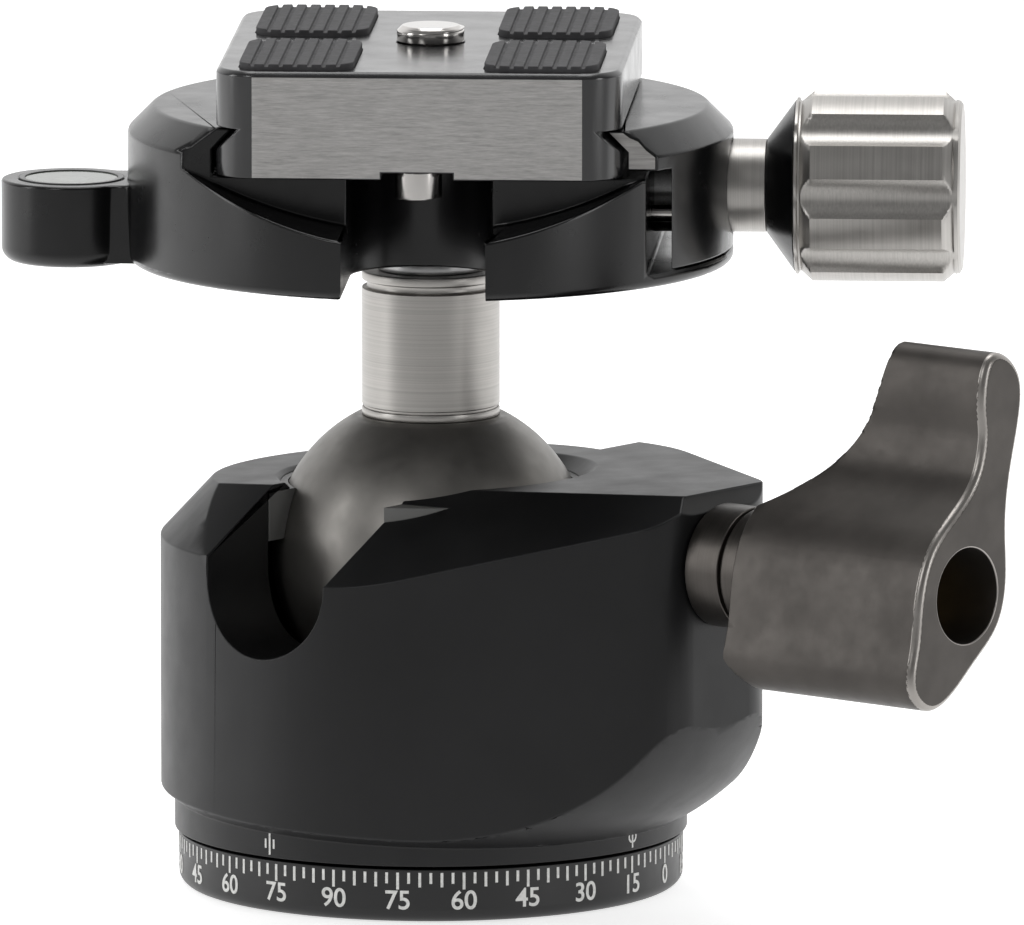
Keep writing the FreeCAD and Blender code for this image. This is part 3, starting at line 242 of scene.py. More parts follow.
class Recipe:
    """A material under construction, with short calls for the nodes that it is made of."""

    def __init__(self, name, colour, metallic, roughness):
        self.material = bpy.data.materials.new(name)
        self.material.use_nodes = True
        self.tree = self.material.node_tree
        self.shader = self.tree.nodes["Principled BSDF"]
        self.shader.inputs["Base Color"].default_value = (*colour, 1.0)
        self.shader.inputs["Metallic"].default_value = metallic
        self.shader.inputs["Roughness"].default_value = roughness
        self.material.diffuse_color = (*colour, 1.0)
        self.colour = colour
        self.place = self.add("ShaderNodeTexCoord").outputs["Object"]

    def add(self, kind, **settings):
        node = self.tree.nodes.new(kind)
        for key, value in settings.items():
            setattr(node, key, value)
        return node

    def link(self, source, target):
        self.tree.links.new(source, target)

    def math(self, operation, *values):
        node = self.add("ShaderNodeMath", operation=operation)
        for socket, value in zip(node.inputs, values):
            if isinstance(value, (int, float)):
                socket.default_value = value
            else:
                self.link(value, socket)
        return node.outputs[0]

    def mapped(self, scale):
        node = self.add("ShaderNodeMapping")
        self.link(self.place, node.inputs["Vector"])
        node.inputs["Scale"].default_value = scale
        return node.outputs["Vector"]

    def noise(self, vector, scale, detail=3.0, rough=0.55):
        node = self.add("ShaderNodeTexNoise")
        self.link(vector, node.inputs["Vector"])
        node.inputs["Scale"].default_value = scale
        node.inputs["Detail"].default_value = detail
        node.inputs["Roughness"].default_value = rough
        return node.outputs["Fac"]

    def spread(self, value, low, high, start=0.25, end=0.75):
        """The value, from its usual span, mapped to low and high."""
        node = self.add("ShaderNodeMapRange")
        self.link(value, node.inputs["Value"])
        node.inputs["From Min"].default_value = start
        node.inputs["From Max"].default_value = end
        node.inputs["To Min"].default_value = low
        node.inputs["To Max"].default_value = high
        return node.outputs["Result"]

    def tint(self, value, darker, lighter):
        """Colour that varies from darker to lighter shares of the base colour."""
        ramp = self.add("ShaderNodeValToRGB")
        self.link(value, ramp.inputs["Fac"])
        for stop, share in zip(ramp.color_ramp.elements, (darker, lighter)):
            stop.color = (*(min(1.0, c * share) for c in self.colour), 1.0)
        ramp.color_ramp.elements[0].position = 0.3
        ramp.color_ramp.elements[1].position = 0.7
        self.link(ramp.outputs["Color"], self.shader.inputs["Base Color"])

    def rough(self, value, low, high):
        self.link(self.spread(value, low, high), self.shader.inputs["Roughness"])

    def bump(self, height, distance, strength):
        node = self.add("ShaderNodeBump")
        self.link(height, node.inputs["Height"])
        node.inputs["Distance"].default_value = distance
        node.inputs["Strength"].default_value = strength
        self.link(node.outputs["Normal"], self.shader.inputs["Normal"])

    def rings(self, turn, centre):
        """Coordinates that follow a lathe's tool: distance from the axis and place along it."""
        node = self.add("ShaderNodeMapping", vector_type="POINT")
        self.link(self.place, node.inputs["Vector"])
        spin = Euler(turn)
        node.inputs["Rotation"].default_value = turn
        node.inputs["Location"].default_value = -(spin.to_matrix() @ Vector(centre))
        parts = self.add("ShaderNodeSeparateXYZ")
        self.link(node.outputs["Vector"], parts.inputs["Vector"])
        across = self.math("MULTIPLY", parts.outputs["X"], parts.outputs["X"])
        radius = self.math("SQRT", self.math("MULTIPLY_ADD", parts.outputs["Y"], parts.outputs["Y"], across))
        joined = self.add("ShaderNodeCombineXYZ")
        self.link(radius, joined.inputs["X"])
        self.link(parts.outputs["Z"], joined.inputs["Z"])
        return joined.outputs["Vector"]


UPRIGHT = (0.0, 0.0, 0.0)
ALONG_X = (0.0, -math.pi / 2, 0.0)


def blasted(name, colour, roughness, grain=5200.0, depth=0.000012, specular=0.35):
    """Anodised metal with a fine blasted grain."""
    recipe = Recipe(name, colour, 0.0, roughness)
    recipe.shader.inputs["Specular IOR Level"].default_value = specular
    cloud = recipe.noise(recipe.place, scale=90.0, detail=4.0)
    recipe.tint(cloud, darker=0.75, lighter=1.3)
    recipe.rough(recipe.noise(recipe.place, scale=260.0, detail=5.0), roughness - 0.04, roughness + 0.05)
    recipe.bump(recipe.noise(recipe.place, scale=grain, detail=2.0), distance=depth, strength=0.35)
    return recipe.material


def blasted_metal(name, colour, roughness):
    """Anodised metal that keeps a metal's sheen under its grain."""
    recipe = Recipe(name, colour, 0.85, roughness)
    recipe.tint(recipe.noise(recipe.place, scale=120.0, detail=4.0), darker=0.82, lighter=1.2)
    recipe.rough(recipe.noise(recipe.place, scale=600.0, detail=5.0), roughness - 0.05, roughness + 0.06)
    recipe.bump(recipe.noise(recipe.place, scale=4600.0, detail=3.0), distance=0.00001, strength=0.4)
    return recipe.material


def turned(name, colour, roughness, turn=UPRIGHT, centre=(0.0, 0.0, 0.0), metallic=1.0):
    """Metal with the fine rings of a lathe round its own axis."""
    recipe = Recipe(name, colour, metallic, roughness)
    rings = recipe.rings(turn, centre)
    lines = recipe.noise(rings, scale=5200.0, detail=3.0, rough=0.7)
    recipe.tint(lines, darker=0.84, lighter=1.12)
    mottle = recipe.noise(recipe.place, scale=700.0, detail=4.0)
    both = recipe.math("ADD", recipe.math("MULTIPLY", mottle, 0.5), recipe.math("MULTIPLY", lines, 0.5))
    recipe.rough(both, roughness - 0.05, roughness + 0.06)
    recipe.bump(lines, distance=0.00001, strength=0.35)
    return recipe.material


def brushed(name, colour, roughness, grain, depth):
    """Metal brushed one way: short streaks along the directions where the grain is coarse."""
    recipe = Recipe(name, colour, 1.0, roughness)
    streaks = recipe.noise(recipe.mapped(grain), scale=1.0, detail=6.0, rough=0.75)
    flecks = recipe.noise(recipe.mapped(tuple(g * 3.1 for g in grain)), scale=1.0, detail=3.0, rough=0.6)
    both = recipe.math("MULTIPLY_ADD", flecks, 0.4, recipe.math("MULTIPLY", streaks, 0.6))
    recipe.tint(both, darker=0.62, lighter=1.35)
    recipe.rough(both, roughness - 0.08, roughness + 0.1)
    recipe.bump(both, distance=depth, strength=0.5)
    return recipe.material


def rubbery(name, colour):
    """Matte rubber with a fine skin."""
    recipe = Recipe(name, colour, 0.0, 0.68)
    recipe.shader.inputs["Specular IOR Level"].default_value = 0.4
    recipe.tint(recipe.noise(recipe.place, scale=900.0, detail=5.0), darker=0.75, lighter=1.3)
    recipe.rough(recipe.noise(recipe.place, scale=1800.0, detail=4.0), 0.6, 0.8)
    recipe.bump(recipe.noise(recipe.place, scale=4200.0, detail=4.0), distance=0.00004, strength=0.5)
    return recipe.material


def polished(name, colour, roughness):
    """Polished steel with faint wear."""
    recipe = Recipe(name, colour, 1.0, roughness)
    wear = recipe.noise(recipe.place, scale=420.0, detail=6.0, rough=0.7)
    recipe.tint(wear, darker=0.9, lighter=1.05)
    recipe.rough(wear, roughness - 0.03, roughness + 0.07)
    recipe.bump(recipe.noise(recipe.place, scale=3000.0, detail=3.0), distance=0.000008, strength=0.3)
    return recipe.material


def plastic(name, colour, roughness):
    """Moulded or machined plastic."""
    recipe = Recipe(name, colour, 0.0, roughness)
    recipe.tint(recipe.noise(recipe.place, scale=220.0, detail=4.0), darker=0.93, lighter=1.05)
    recipe.rough(recipe.noise(recipe.place, scale=1200.0, detail=4.0), roughness - 0.05, roughness + 0.06)
    recipe.bump(recipe.noise(recipe.place, scale=2600.0, detail=3.0), distance=0.00001, strength=0.35)
    return recipe.material


def painted(name, colour):
    """Paint rubbed into engraved marks, a little uneven."""
    recipe = Recipe(name, colour, 0.0, 0.55)
    recipe.tint(recipe.noise(recipe.place, scale=2600.0, detail=4.0), darker=0.82, lighter=1.08)
    recipe.rough(recipe.noise(recipe.place, scale=1500.0, detail=3.0), 0.48, 0.62)
    recipe.bump(recipe.noise(recipe.place, scale=5200.0, detail=2.0), distance=0.00001, strength=0.4)
    return recipe.material


def liquid(name, colour, transmission):
    """Clear vial or bubble, with faint unevenness."""
    roughness = 0.04
    recipe = Recipe(name, colour, 0.0, roughness)
    recipe.shader.inputs["Transmission Weight"].default_value = transmission
    recipe.shader.inputs["IOR"].default_value = 1.4
    recipe.tint(recipe.noise(recipe.place, scale=500.0, detail=3.0), darker=0.92, lighter=1.06)
    recipe.rough(recipe.noise(recipe.place, scale=900.0, detail=3.0), roughness, roughness + 0.05)
    return recipe.material


def lock_turn_euler():
    """The turn that brings the lock's axis upright, for rings round it."""
    return LOCK_AXIS.rotation_difference(Vector((0.0, 0.0, 1.0))).to_euler()


FINISHES = {}


def finish(name, settings):
    """The named finish, built when it is first asked for."""
    colours = settings.finish
    body, clamp, silver = tuple(colours.body), tuple(colours.clamp), tuple(colours.silver)
    gunmetal, bronze = tuple(colours.gunmetal), tuple(colours.bronze)
    spin = lock_turn_euler()
    makers = {
        "body_black": lambda: blasted(name, body, 0.4),
        "foot_black": lambda: turned(name, body, 0.38, metallic=0.0),
        "clamp_black": lambda: blasted(name, clamp, 0.24, grain=6500.0, depth=0.000006, specular=0.5),
        "plate_black": lambda: blasted(name, PLATE_BLACK, 0.2, grain=6500.0, depth=0.000006, specular=0.9),
        "plate_end": lambda: brushed(name, PLATE_END, 0.45, grain=(260.0, 600.0, 3600.0), depth=0.00002),
        "jaw_bare": lambda: brushed(name, JAW_END, 0.4, grain=(110.0, 600.0, 3600.0), depth=0.00001),
        "stem_silver": lambda: turned(name, silver, 0.36),
        "knob_silver": lambda: turned(name, silver, 0.34, turn=ALONG_X, centre=CLAMP_AXIS),
        "ball_gunmetal": lambda: blasted_metal(name, gunmetal, 0.4),
        "knob_bronze": lambda: blasted_metal(name, bronze, 0.42),
        "knob_edge": lambda: polished(name, KNOB_EDGE, 0.3),
        "collar_bronze": lambda: turned(name, bronze, 0.36, turn=spin, centre=LOCK_PLACE),
        "steel": lambda: turned(name, STEEL, 0.32),
        "screw_steel": lambda: turned(name, STEEL, 0.3, turn=spin, centre=LOCK_PLACE),
        "brass": lambda: turned(name, BRASS, 0.34, turn=spin, centre=LOCK_PLACE),
        "chrome": lambda: polished(name, CHROME, 0.14),
        "bare_metal": lambda: turned(name, ALUMINIUM, 0.36),
        "white_plastic": lambda: plastic(name, WHITE_PLASTIC, 0.42),
        "seat_grey": lambda: plastic(name, SEAT_GREY, 0.4),
        "rubber": lambda: rubbery(name, tuple(colours.rubber)),
        "paint": lambda: painted(name, tuple(colours.paint)),
        "level_rim": lambda: plastic(name, LEVEL_RIM, 0.3),
        "level_glass": lambda: liquid(name, LEVEL_GLASS, 0.6),
        "level_air": lambda: liquid(name, LEVEL_AIR, 0.8),
    }
    if name not in FINISHES:
        FINISHES[name] = makers[name]()
    return FINISHES[name]


# Meshes

def plain(piece):
    """Turns a piece's modifiers into a plain mesh."""
    bpy.context.view_layer.update()
    graph = bpy.context.evaluated_depsgraph_get()
    mesh = bpy.data.meshes.new_from_object(piece.evaluated_get(graph), preserve_all_data_layers=True,
                                           depsgraph=graph)
    old = piece.data
    piece.modifiers.clear()
    piece.data = mesh
    mesh.name = piece.name
    if old.users == 0:
        bpy.data.meshes.remove(old)
    return piece


def new_piece(name, mesh, *materials):
    piece = bpy.data.objects.new(name, mesh)
    bpy.context.scene.collection.objects.link(piece)
    mesh.materials.clear()
    for material in materials:
        mesh.materials.append(material)
    return piece


def seat(piece, node):
    """The piece rides with the node's body and stands for the node."""
    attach(piece, BODY_OF[node])
    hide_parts(node)


def weigh_edges(mesh, width, sharp, room_needed):
    """Marks the sharp edges whose faces are wide enough for a broken edge."""
    layer = mesh.edges.layers.float.new("bevel_weight_edge")
    for edge in mesh.edges:
        length = edge.calc_length()
        if len(edge.link_faces) != 2 or length < SHORTEST_EDGE or edge.calc_face_angle(0.0) < sharp:
            continue
        room = min(face.calc_area() / length for face in edge.link_faces)
        if room > room_needed * width:
            edge[layer] = 1.0


def merged_copy(node):
    """A CAD node's mesh with its loose triangles joined and its flat faces made whole."""
    mesh = bmesh.new()
    mesh.from_mesh(frame["nodes"][node].data)
    bmesh.ops.remove_doubles(mesh, verts=mesh.verts[:], dist=MERGE_GAP)
    bmesh.ops.dissolve_limit(mesh, angle_limit=math.radians(0.4), verts=mesh.verts[:], edges=mesh.edges[:],
                             use_dissolve_boundaries=False, delimit={"NORMAL"})
    return mesh


def dress(node, settings, *finishes, edge=1.0, room=1.8, choose=None, soften=None):
    """A finished copy of a CAD node: broken edges, smooth curved faces, and its materials."""
    copy = merged_copy(node)
    if soften:
        soften(copy)
    width = settings.edges.width * edge
    weigh_edges(copy, width, settings.edges.sharp, room)
    mesh = bpy.data.meshes.new(node + "_finished")
    copy.to_mesh(mesh)
    copy.free()
    piece = new_piece(node + "_finished", mesh, *(finish(name, settings) for name in finishes))
    for polygon in mesh.polygons:
        polygon.use_smooth = True
    if edge > 0:
        bevel = piece.modifiers.new("Broken Edges", "BEVEL")
        bevel.width = width
        bevel.segments = settings.edges.segments
        bevel.limit_method = "WEIGHT"
        bevel.use_clamp_overlap = False
    plain(piece)
    if choose:
        for polygon in piece.data.polygons:
            polygon.material_index = choose(polygon)
    piece.data.set_sharp_from_angle(angle=math.radians(38))
    weigh = piece.modifiers.new("Even Shading", "WEIGHTED_NORMAL")
    weigh.keep_sharp = True
    weigh.weight = 80
    plain(piece)
    seat(piece, node)
    return piece


def upright_bar(mesh, x0, x1, reach, thickness):
    """A thin upright bar from x0 to x1 that reaches as far below the middle as above it."""
    corners = ((x0, -thickness), (x1, -thickness), (x1, thickness), (x0, thickness))
    low = [mesh.verts.new((x, -reach, z)) for x, z in corners]
    high = [mesh.verts.new((x, reach, z)) for x, z in corners]
    for i in range(4):
        j = (i + 1) % 4
        mesh.faces.new((low[i], high[i], high[j], low[j]))
    mesh.faces.new(low)
    mesh.faces.new(high[::-1])


def flat_ring(mesh, inner, outer, thickness, count=28):
    """A thin flat ring round the middle."""
    loops = []
    for radius, z in ((inner, thickness), (outer, thickness), (outer, -thickness), (inner, -thickness)):
        loop = []
        for i in range(count):
            angle = 2 * math.pi * i / count
            loop.append(mesh.verts.new((radius * math.cos(angle), radius * math.sin(angle), z)))
        loops.append(loop)
    for a, b in zip(loops, loops[1:] + loops[:1]):
        for i in range(count):
            j = (i + 1) % count
            mesh.faces.new((a[i], b[i], b[j], a[j]))


def wrap(mesh, radius, azimuth, height):
    """Bends flat work round the pan axis: x runs round, y runs up and z stands off the surface."""
    for vert in mesh.verts:
        x, y, z = vert.co
        angle = azimuth + x / radius
        reach = radius + z
        vert.co = (reach * math.cos(angle), reach * math.sin(angle), height + y)


def join(target, source):
    """Adds one bmesh to another and frees it."""
    mesh = bpy.data.meshes.new("joining")
    source.to_mesh(mesh)
    source.free()
    target.from_mesh(mesh)
    bpy.data.meshes.remove(mesh)


# Geometry node trees

class Graph:
    """A geometry node tree under construction."""

    def __init__(self, name):
        self.tree = bpy.data.node_groups.new(name, "GeometryNodeTree")
        self.tree.interface.new_socket(name="Geometry", in_out="INPUT", socket_type="NodeSocketGeometry")
        self.inlet = self.tree.nodes.new("NodeGroupInput")
        self.outlet = self.tree.nodes.new("NodeGroupOutput")

    def ask(self, name, kind, default=None):
        """A named input, and its socket."""
        socket = self.tree.interface.new_socket(name=name, in_out="INPUT", socket_type="NodeSocket" + kind)
        if default is not None:
            socket.default_value = default
        return self.inlet.outputs[name]

    def add(self, kind, inputs=None, **settings):
        node = self.tree.nodes.new(kind)
        for key, value in settings.items():
            setattr(node, key, value)
        for key, value in (inputs or {}).items():
            self.feed(node.inputs[key], value)
        return node

    def feed(self, socket, value):
        if isinstance(value, bpy.types.NodeSocket):
            self.tree.links.new(value, socket)
        else:
            socket.default_value = value

    def math(self, operation, *values):
        node = self.add("ShaderNodeMath", operation=operation)
        for socket, value in zip(node.inputs, values):
            self.feed(socket, value)
        return node.outputs[0]

    def vector(self, x, y, z):
        return self.add("ShaderNodeCombineXYZ", {"X": x, "Y": y, "Z": z}).outputs[0]

    def finish(self, geometry, material):
        """Realizes what was made, gives it its material and ends the tree."""
        real = self.add("GeometryNodeRealizeInstances", {"Geometry": geometry})
        dressed = self.add("GeometryNodeSetMaterial", {"Geometry": real.outputs[0], "Material": material})
        self.tree.interface.new_socket(name="Geometry", in_out="OUTPUT", socket_type="NodeSocketGeometry")
        self.tree.links.new(dressed.outputs[0], self.outlet.inputs[0])
        return self.tree


def grown(name, tree, values):
    """A piece that a node tree makes, as a plain mesh."""
    mesh = bpy.data.meshes.new(name)
    piece = bpy.data.objects.new(name, mesh)
    bpy.context.scene.collection.objects.link(piece)
    modifier = piece.modifiers.new(tree.name, "NODES")
    modifier.node_group = tree
    for item in tree.interface.items_tree:
        if item.in_out == "INPUT" and item.name in values:
            modifier[item.identifier] = values[item.name]
    plain(piece)
    if not piece.data.polygons:
        raise RuntimeError(tree.name + " made nothing for " + name)
    return piece


def tick_tree():
    """Ticks round a cylinder: every second one is longer, and every sixth the longest."""
    graph = Graph("Degree Ticks")
    count = graph.ask("Count", "Int", 144)
    start = graph.ask("Start", "Float")
    step = graph.ask("Step", "Float")
    radius = graph.ask("Radius", "Float")
    top = graph.ask("Top", "Float")
    width = graph.ask("Width", "Float")
    depth = graph.ask("Depth", "Float")
    short = graph.ask("Short", "Float")
    medium = graph.ask("Medium", "Float")
    long = graph.ask("Long", "Float")
    material = graph.ask("Material", "Material")
    index = graph.add("GeometryNodeInputIndex").outputs[0]
    angle = graph.math("MULTIPLY_ADD", index, step, start)
    x = graph.math("MULTIPLY", radius, graph.math("COSINE", angle))
    y = graph.math("MULTIPLY", radius, graph.math("SINE", angle))
    points = graph.add("GeometryNodePoints", {"Count": count, "Position": graph.vector(x, y, top)})
    not_second = graph.math("MINIMUM", graph.math("MODULO", index, 2.0), 1.0)
    not_sixth = graph.math("MINIMUM", graph.math("MODULO", index, 6.0), 1.0)
    second = graph.math("SUBTRACT", 1.0, not_second)
    sixth = graph.math("SUBTRACT", 1.0, not_sixth)
    longer = graph.math("MULTIPLY", second, graph.math("SUBTRACT", medium, short))
    longest = graph.math("MULTIPLY", sixth, graph.math("SUBTRACT", long, medium))
    length = graph.math("ADD", short, graph.math("ADD", longer, longest))
    cube = graph.add("GeometryNodeMeshCube", {"Size": graph.vector(depth, width, 1.0)})
    hung = graph.add("GeometryNodeTransform", {"Geometry": cube.outputs["Mesh"],
                                               "Translation": (0.0, 0.0, -0.5)})
    turn = graph.add("FunctionNodeEulerToRotation", {"Euler": graph.vector(0.0, 0.0, angle)})
    ticks = graph.add("GeometryNodeInstanceOnPoints", {
        "Points": points.outputs[0], "Instance": hung.outputs[0], "Rotation": turn.outputs[0],
        "Scale": graph.vector(1.0, 1.0, length)})
    return graph.finish(ticks.outputs[0], material)


def thread_tree():
    """A rod whose skin is pushed in along a helix, as a V thread is cut."""
    graph = Graph("Screw Thread")
    radius = graph.ask("Radius", "Float")
    length = graph.ask("Length", "Float")
    pitch = graph.ask("Pitch", "Float")
    depth = graph.ask("Depth", "Float")
    foot = graph.ask("Foot", "Float")
    material = graph.ask("Material", "Material")
    rod = graph.add("GeometryNodeMeshCylinder", {"Vertices": 72, "Side Segments": 56, "Radius": radius,
                                                "Depth": length})
    place = graph.add("GeometryNodeInputPosition").outputs[0]
    parts = graph.add("ShaderNodeSeparateXYZ", {"Vector": place})
    x, y, z = parts.outputs[0], parts.outputs[1], parts.outputs[2]
    turns = graph.math("DIVIDE", graph.math("ARCTAN2", y, x), 2 * math.pi)
    wound = graph.math("SUBTRACT", graph.math("DIVIDE", z, pitch), turns)
    above_zero = 100.0
    phase = graph.math("FRACT", graph.math("ADD", wound, above_zero))
    groove = graph.math("ABSOLUTE", graph.math("SUBTRACT", graph.math("MULTIPLY", phase, 2.0), 1.0))
    share = graph.math("DIVIDE", graph.math("MULTIPLY", groove, depth), radius)
    inwards = graph.math("SUBTRACT", 0.0, share)
    push = graph.vector(graph.math("MULTIPLY", x, inwards), graph.math("MULTIPLY", y, inwards), 0.0)
    cut = graph.add("GeometryNodeSetPosition", {"Geometry": rod.outputs["Mesh"], "Offset": push})
    middle = graph.math("MULTIPLY_ADD", length, 0.5, foot)
    moved = graph.add("GeometryNodeTransform", {"Geometry": cut.outputs[0],
                                                "Translation": graph.vector(0.0, 0.0, middle)})
    return graph.finish(moved.outputs[0], material)


def coil_tree():
    """A coil spring that stands on the origin along Z."""
    graph = Graph("Coil Spring")
    radius = graph.ask("Radius", "Float")
    wire = graph.ask("Wire", "Float")
    height = graph.ask("Height", "Float")
    turns = graph.ask("Turns", "Float", 4.0)
    material = graph.ask("Material", "Material")
    spiral = graph.add("GeometryNodeCurveSpiral", {"Resolution": 28, "Rotations": turns, "Height": height,
                                                  "Start Radius": radius, "End Radius": radius})
    section = graph.add("GeometryNodeCurvePrimitiveCircle", {"Resolution": 10, "Radius": wire})
    tube = graph.add("GeometryNodeCurveToMesh", {"Curve": spiral.outputs[0],
                                                "Profile Curve": section.outputs["Curve"], "Fill Caps": True})
    return graph.finish(tube.outputs[0], material)


# Operators

class BALLHEAD_OT_studio(bpy.types.Operator):
    """Adds the floor, the room's light, four soft lights and the camera"""

    bl_idname = "ballhead.studio"
    bl_label = "Studio"

    def execute(self, context):
        studio = context.scene.ball_head.studio
        half = studio.floor / 2
        mesh = bpy.data.meshes.new("floor")
        corners = ((-half, -half), (half, -half), (half, half), (-half, half))
        mesh.from_pydata([(x, y, -FLOOR_DROP) for x, y in corners], [], [(0, 1, 2, 3)])
        floor = new_piece("floor", mesh, floor_material())
        room_light(context.scene, studio)
        for light in LIGHTS:
            soft_light(*light)
        add_camera(context.scene, studio)
        return {"FINISHED"}


def floor_material():
    """Plain pale floor with painted light: it glows, more strongly behind the object, as if under a lit
    sweep.
    """
    recipe = Recipe("floor", FLOOR, 0.0, 0.8)
    recipe.shader.inputs["Specular IOR Level"].default_value = 0.1
    recipe.tint(recipe.noise(recipe.place, scale=3.0, detail=3.0), darker=0.99, lighter=1.01)
    parts = recipe.add("ShaderNodeSeparateXYZ")
    recipe.link(recipe.place, parts.inputs["Vector"])
    # Painted light: the floor emits white light that rises from none in front of the object to strong under
    # and behind it, a painted pool of light on the floor.
    recipe.shader.inputs["Emission Color"].default_value = (1.0, 1.0, 1.0, 1.0)
    glow = recipe.spread(parts.outputs["Y"], low=0.0, high=0.75, start=-0.12, end=-0.01)
    recipe.link(glow, recipe.shader.inputs["Emission Strength"])
    return recipe.material


def room_light(scene, studio):
    """A dim room in front and a bright wall behind."""
    world = bpy.data.worlds.new("room")
    scene.world = world
    world.use_nodes = True
    tree = world.node_tree
    background = tree.nodes["Background"]
    background.inputs["Color"].default_value = (1.0, 1.0, 1.0, 1.0)
    direction = tree.nodes.new("ShaderNodeTexCoord")
    parts = tree.nodes.new("ShaderNodeSeparateXYZ")
    tree.links.new(direction.outputs["Generated"], parts.inputs["Vector"])
    spread = tree.nodes.new("ShaderNodeMapRange")
    spread.interpolation_type = "SMOOTHSTEP"
    tree.links.new(parts.outputs["Y"], spread.inputs["Value"])
    spread.inputs["From Min"].default_value = -0.1
    spread.inputs["From Max"].default_value = 0.7
    spread.inputs["To Min"].default_value = studio.front_glow
    spread.inputs["To Max"].default_value = studio.back_glow
    tree.links.new(spread.outputs["Result"], background.inputs["Strength"])


def soft_light(name, place, size, brightness):
    """An area light that faces the object, given by its brightness."""
    light = bpy.data.lights.new(name, "AREA")
    light.shape = "RECTANGLE"
    light.size, light.size_y = size
    light.energy = brightness * math.pi * size[0] * size[1]
    lamp = bpy.data.objects.new(name, light)
    lamp.location = place
    aim = Vector(LIGHT_AIM) - Vector(place)
    lamp.rotation_euler = aim.to_track_quat("-Z", "Y").to_euler()
    bpy.context.scene.collection.objects.link(lamp)


def add_camera(scene, studio):
    data = bpy.data.cameras.new("camera")
    data.sensor_width = 36.0
    data.lens = studio.lens
    data.clip_start = 0.1
    data.clip_end = 60.0
    camera = bpy.data.objects.new("camera", data)
    camera.location = studio.camera
    camera.rotation_euler = (math.pi / 2 - studio.down, 0.0, studio.left)
    scene.collection.objects.link(camera)
    scene.camera = camera
    scene.view_settings.view_transform = "Standard"


class BALLHEAD_OT_foot(bpy.types.Operator):
    """Finishes the panning base and the parts that hold the housing on it"""

    bl_idname = "ballhead.foot"
    bl_label = "Panning Base"

    def execute(self, context):
        settings = context.scene.ball_head
        dress("panning_base", settings, "foot_black")
        dress("thrust_washer", settings, "white_plastic")
        dress("retaining_ring", settings, "steel")
        dress("retaining_screws", settings, "steel", edge=0.4)
        return {"FINISHED"}


class BALLHEAD_OT_scale(bpy.types.Operator):
    """Adds the ticks and numbers of the degree scale"""

    bl_idname = "ballhead.scale"
    bl_label = "Degree Scale"

    def execute(self, context):
        settings = context.scene.ball_head
        scale = settings.scale
        paint = finish("paint", settings)
        count = round(2 * math.pi / scale.step)
        ticks = grown("scale_ticks", tick_tree(), {
            "Count": count, "Start": scale.zero, "Step": scale.step, "Radius": RING_RADIUS, "Top": scale.top,
            "Width": scale.width, "Depth": 2 * scale.proud, "Short": scale.short, "Medium": scale.medium,
            "Long": scale.long, "Material": paint})
        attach(ticks, "base")
        numbers = bmesh.new()
        for place in range(NUMBER_COUNT):
            angle = place * NUMBER_STEP
            value = abs((angle + NUMBER_TURN) % (2 * NUMBER_TURN) - NUMBER_TURN)
            join(numbers, numeral(str(value), scale, scale.zero - math.radians(angle)))
        mesh = bpy.data.meshes.new("scale_numbers")
        numbers.to_mesh(mesh)
        numbers.free()
        piece = new_piece("scale_numbers", mesh, paint)
        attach(piece, "base")
        return {"FINISHED"}


def numeral(text, scale, azimuth):
    """One number of the scale, as a mesh bent round the foot."""
    curve = bpy.data.curves.new("numeral", "FONT")
    curve.body = text
    curve.size = scale.numeral
    curve.align_x = "CENTER"
    curve.align_y = "CENTER"
    curve.extrude = scale.proud
    curve.offset = NUMERAL_SPREAD
    curve.resolution_u = 6
    piece = bpy.data.objects.new("numeral", curve)
    bpy.context.scene.collection.objects.link(piece)
    bpy.context.view_layer.update()
    graph = bpy.context.evaluated_depsgraph_get()
    flat = bpy.data.meshes.new_from_object(piece.evaluated_get(graph))
    mesh = bmesh.new()
    mesh.from_mesh(flat)
    bmesh.ops.remove_doubles(mesh, verts=mesh.verts[:], dist=MERGE_GAP / 2)
    bmesh.ops.recalc_face_normals(mesh, faces=mesh.faces[:])
    wrap(mesh, RING_RADIUS + scale.proud / 2, azimuth, scale.numeral_height)
    bpy.data.objects.remove(piece)
    bpy.data.curves.remove(curve)
    bpy.data.meshes.remove(flat)
    return mesh


class BALLHEAD_OT_housing(bpy.types.Operator):
    """Finishes the housing, its cover and the seats inside, and adds the index marks"""

    bl_idname = "ballhead.housing"
    bl_label = "Housing"

    def execute(self, context):
        settings = context.scene.ball_head
        dress("housing", settings, "body_black", edge=1.2, room=0.0)
        dress("bottom_cover", settings, "body_black")
        dress("seat_carrier", settings, "bare_metal")
        dress("upper_seat_ring", settings, "seat_grey", edge=0.5)
        dress("ball_cup", settings, "white_plastic", edge=0.5)
        add_marks(settings)
        return {"FINISHED"}


def add_marks(settings):
    """Three lines at one side, and a ring crossed by a line at the other."""
    marks = settings.marks
    proud = settings.scale.proud
    half = marks.height / 2
    middle = SKIRT_FOOT + MARK_LIFT + half
    side_reach = 0.42 * half
    wide = marks.width / 2
    lines = bmesh.new()
    upright_bar(lines, -wide, wide, half, proud)
    for side in (-1, 1):
        x = side * 2.4 * marks.width
        upright_bar(lines, x - wide, x + wide, side_reach, proud)
    wrap(lines, marks.skirt, marks.line_mark, middle)
    ring = bmesh.new()
    inner = marks.height * 0.2
    flat_ring(ring, inner, inner + marks.width * 0.9, proud)
    upright_bar(ring, -wide, wide, half, proud)
    wrap(ring, marks.skirt, marks.zero_mark, middle)
    join(lines, ring)
    mesh = bpy.data.meshes.new("index_marks")
    lines.to_mesh(mesh)
    lines.free()
    piece = new_piece("index_marks", mesh, finish("paint", settings))
    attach(piece, "housing")


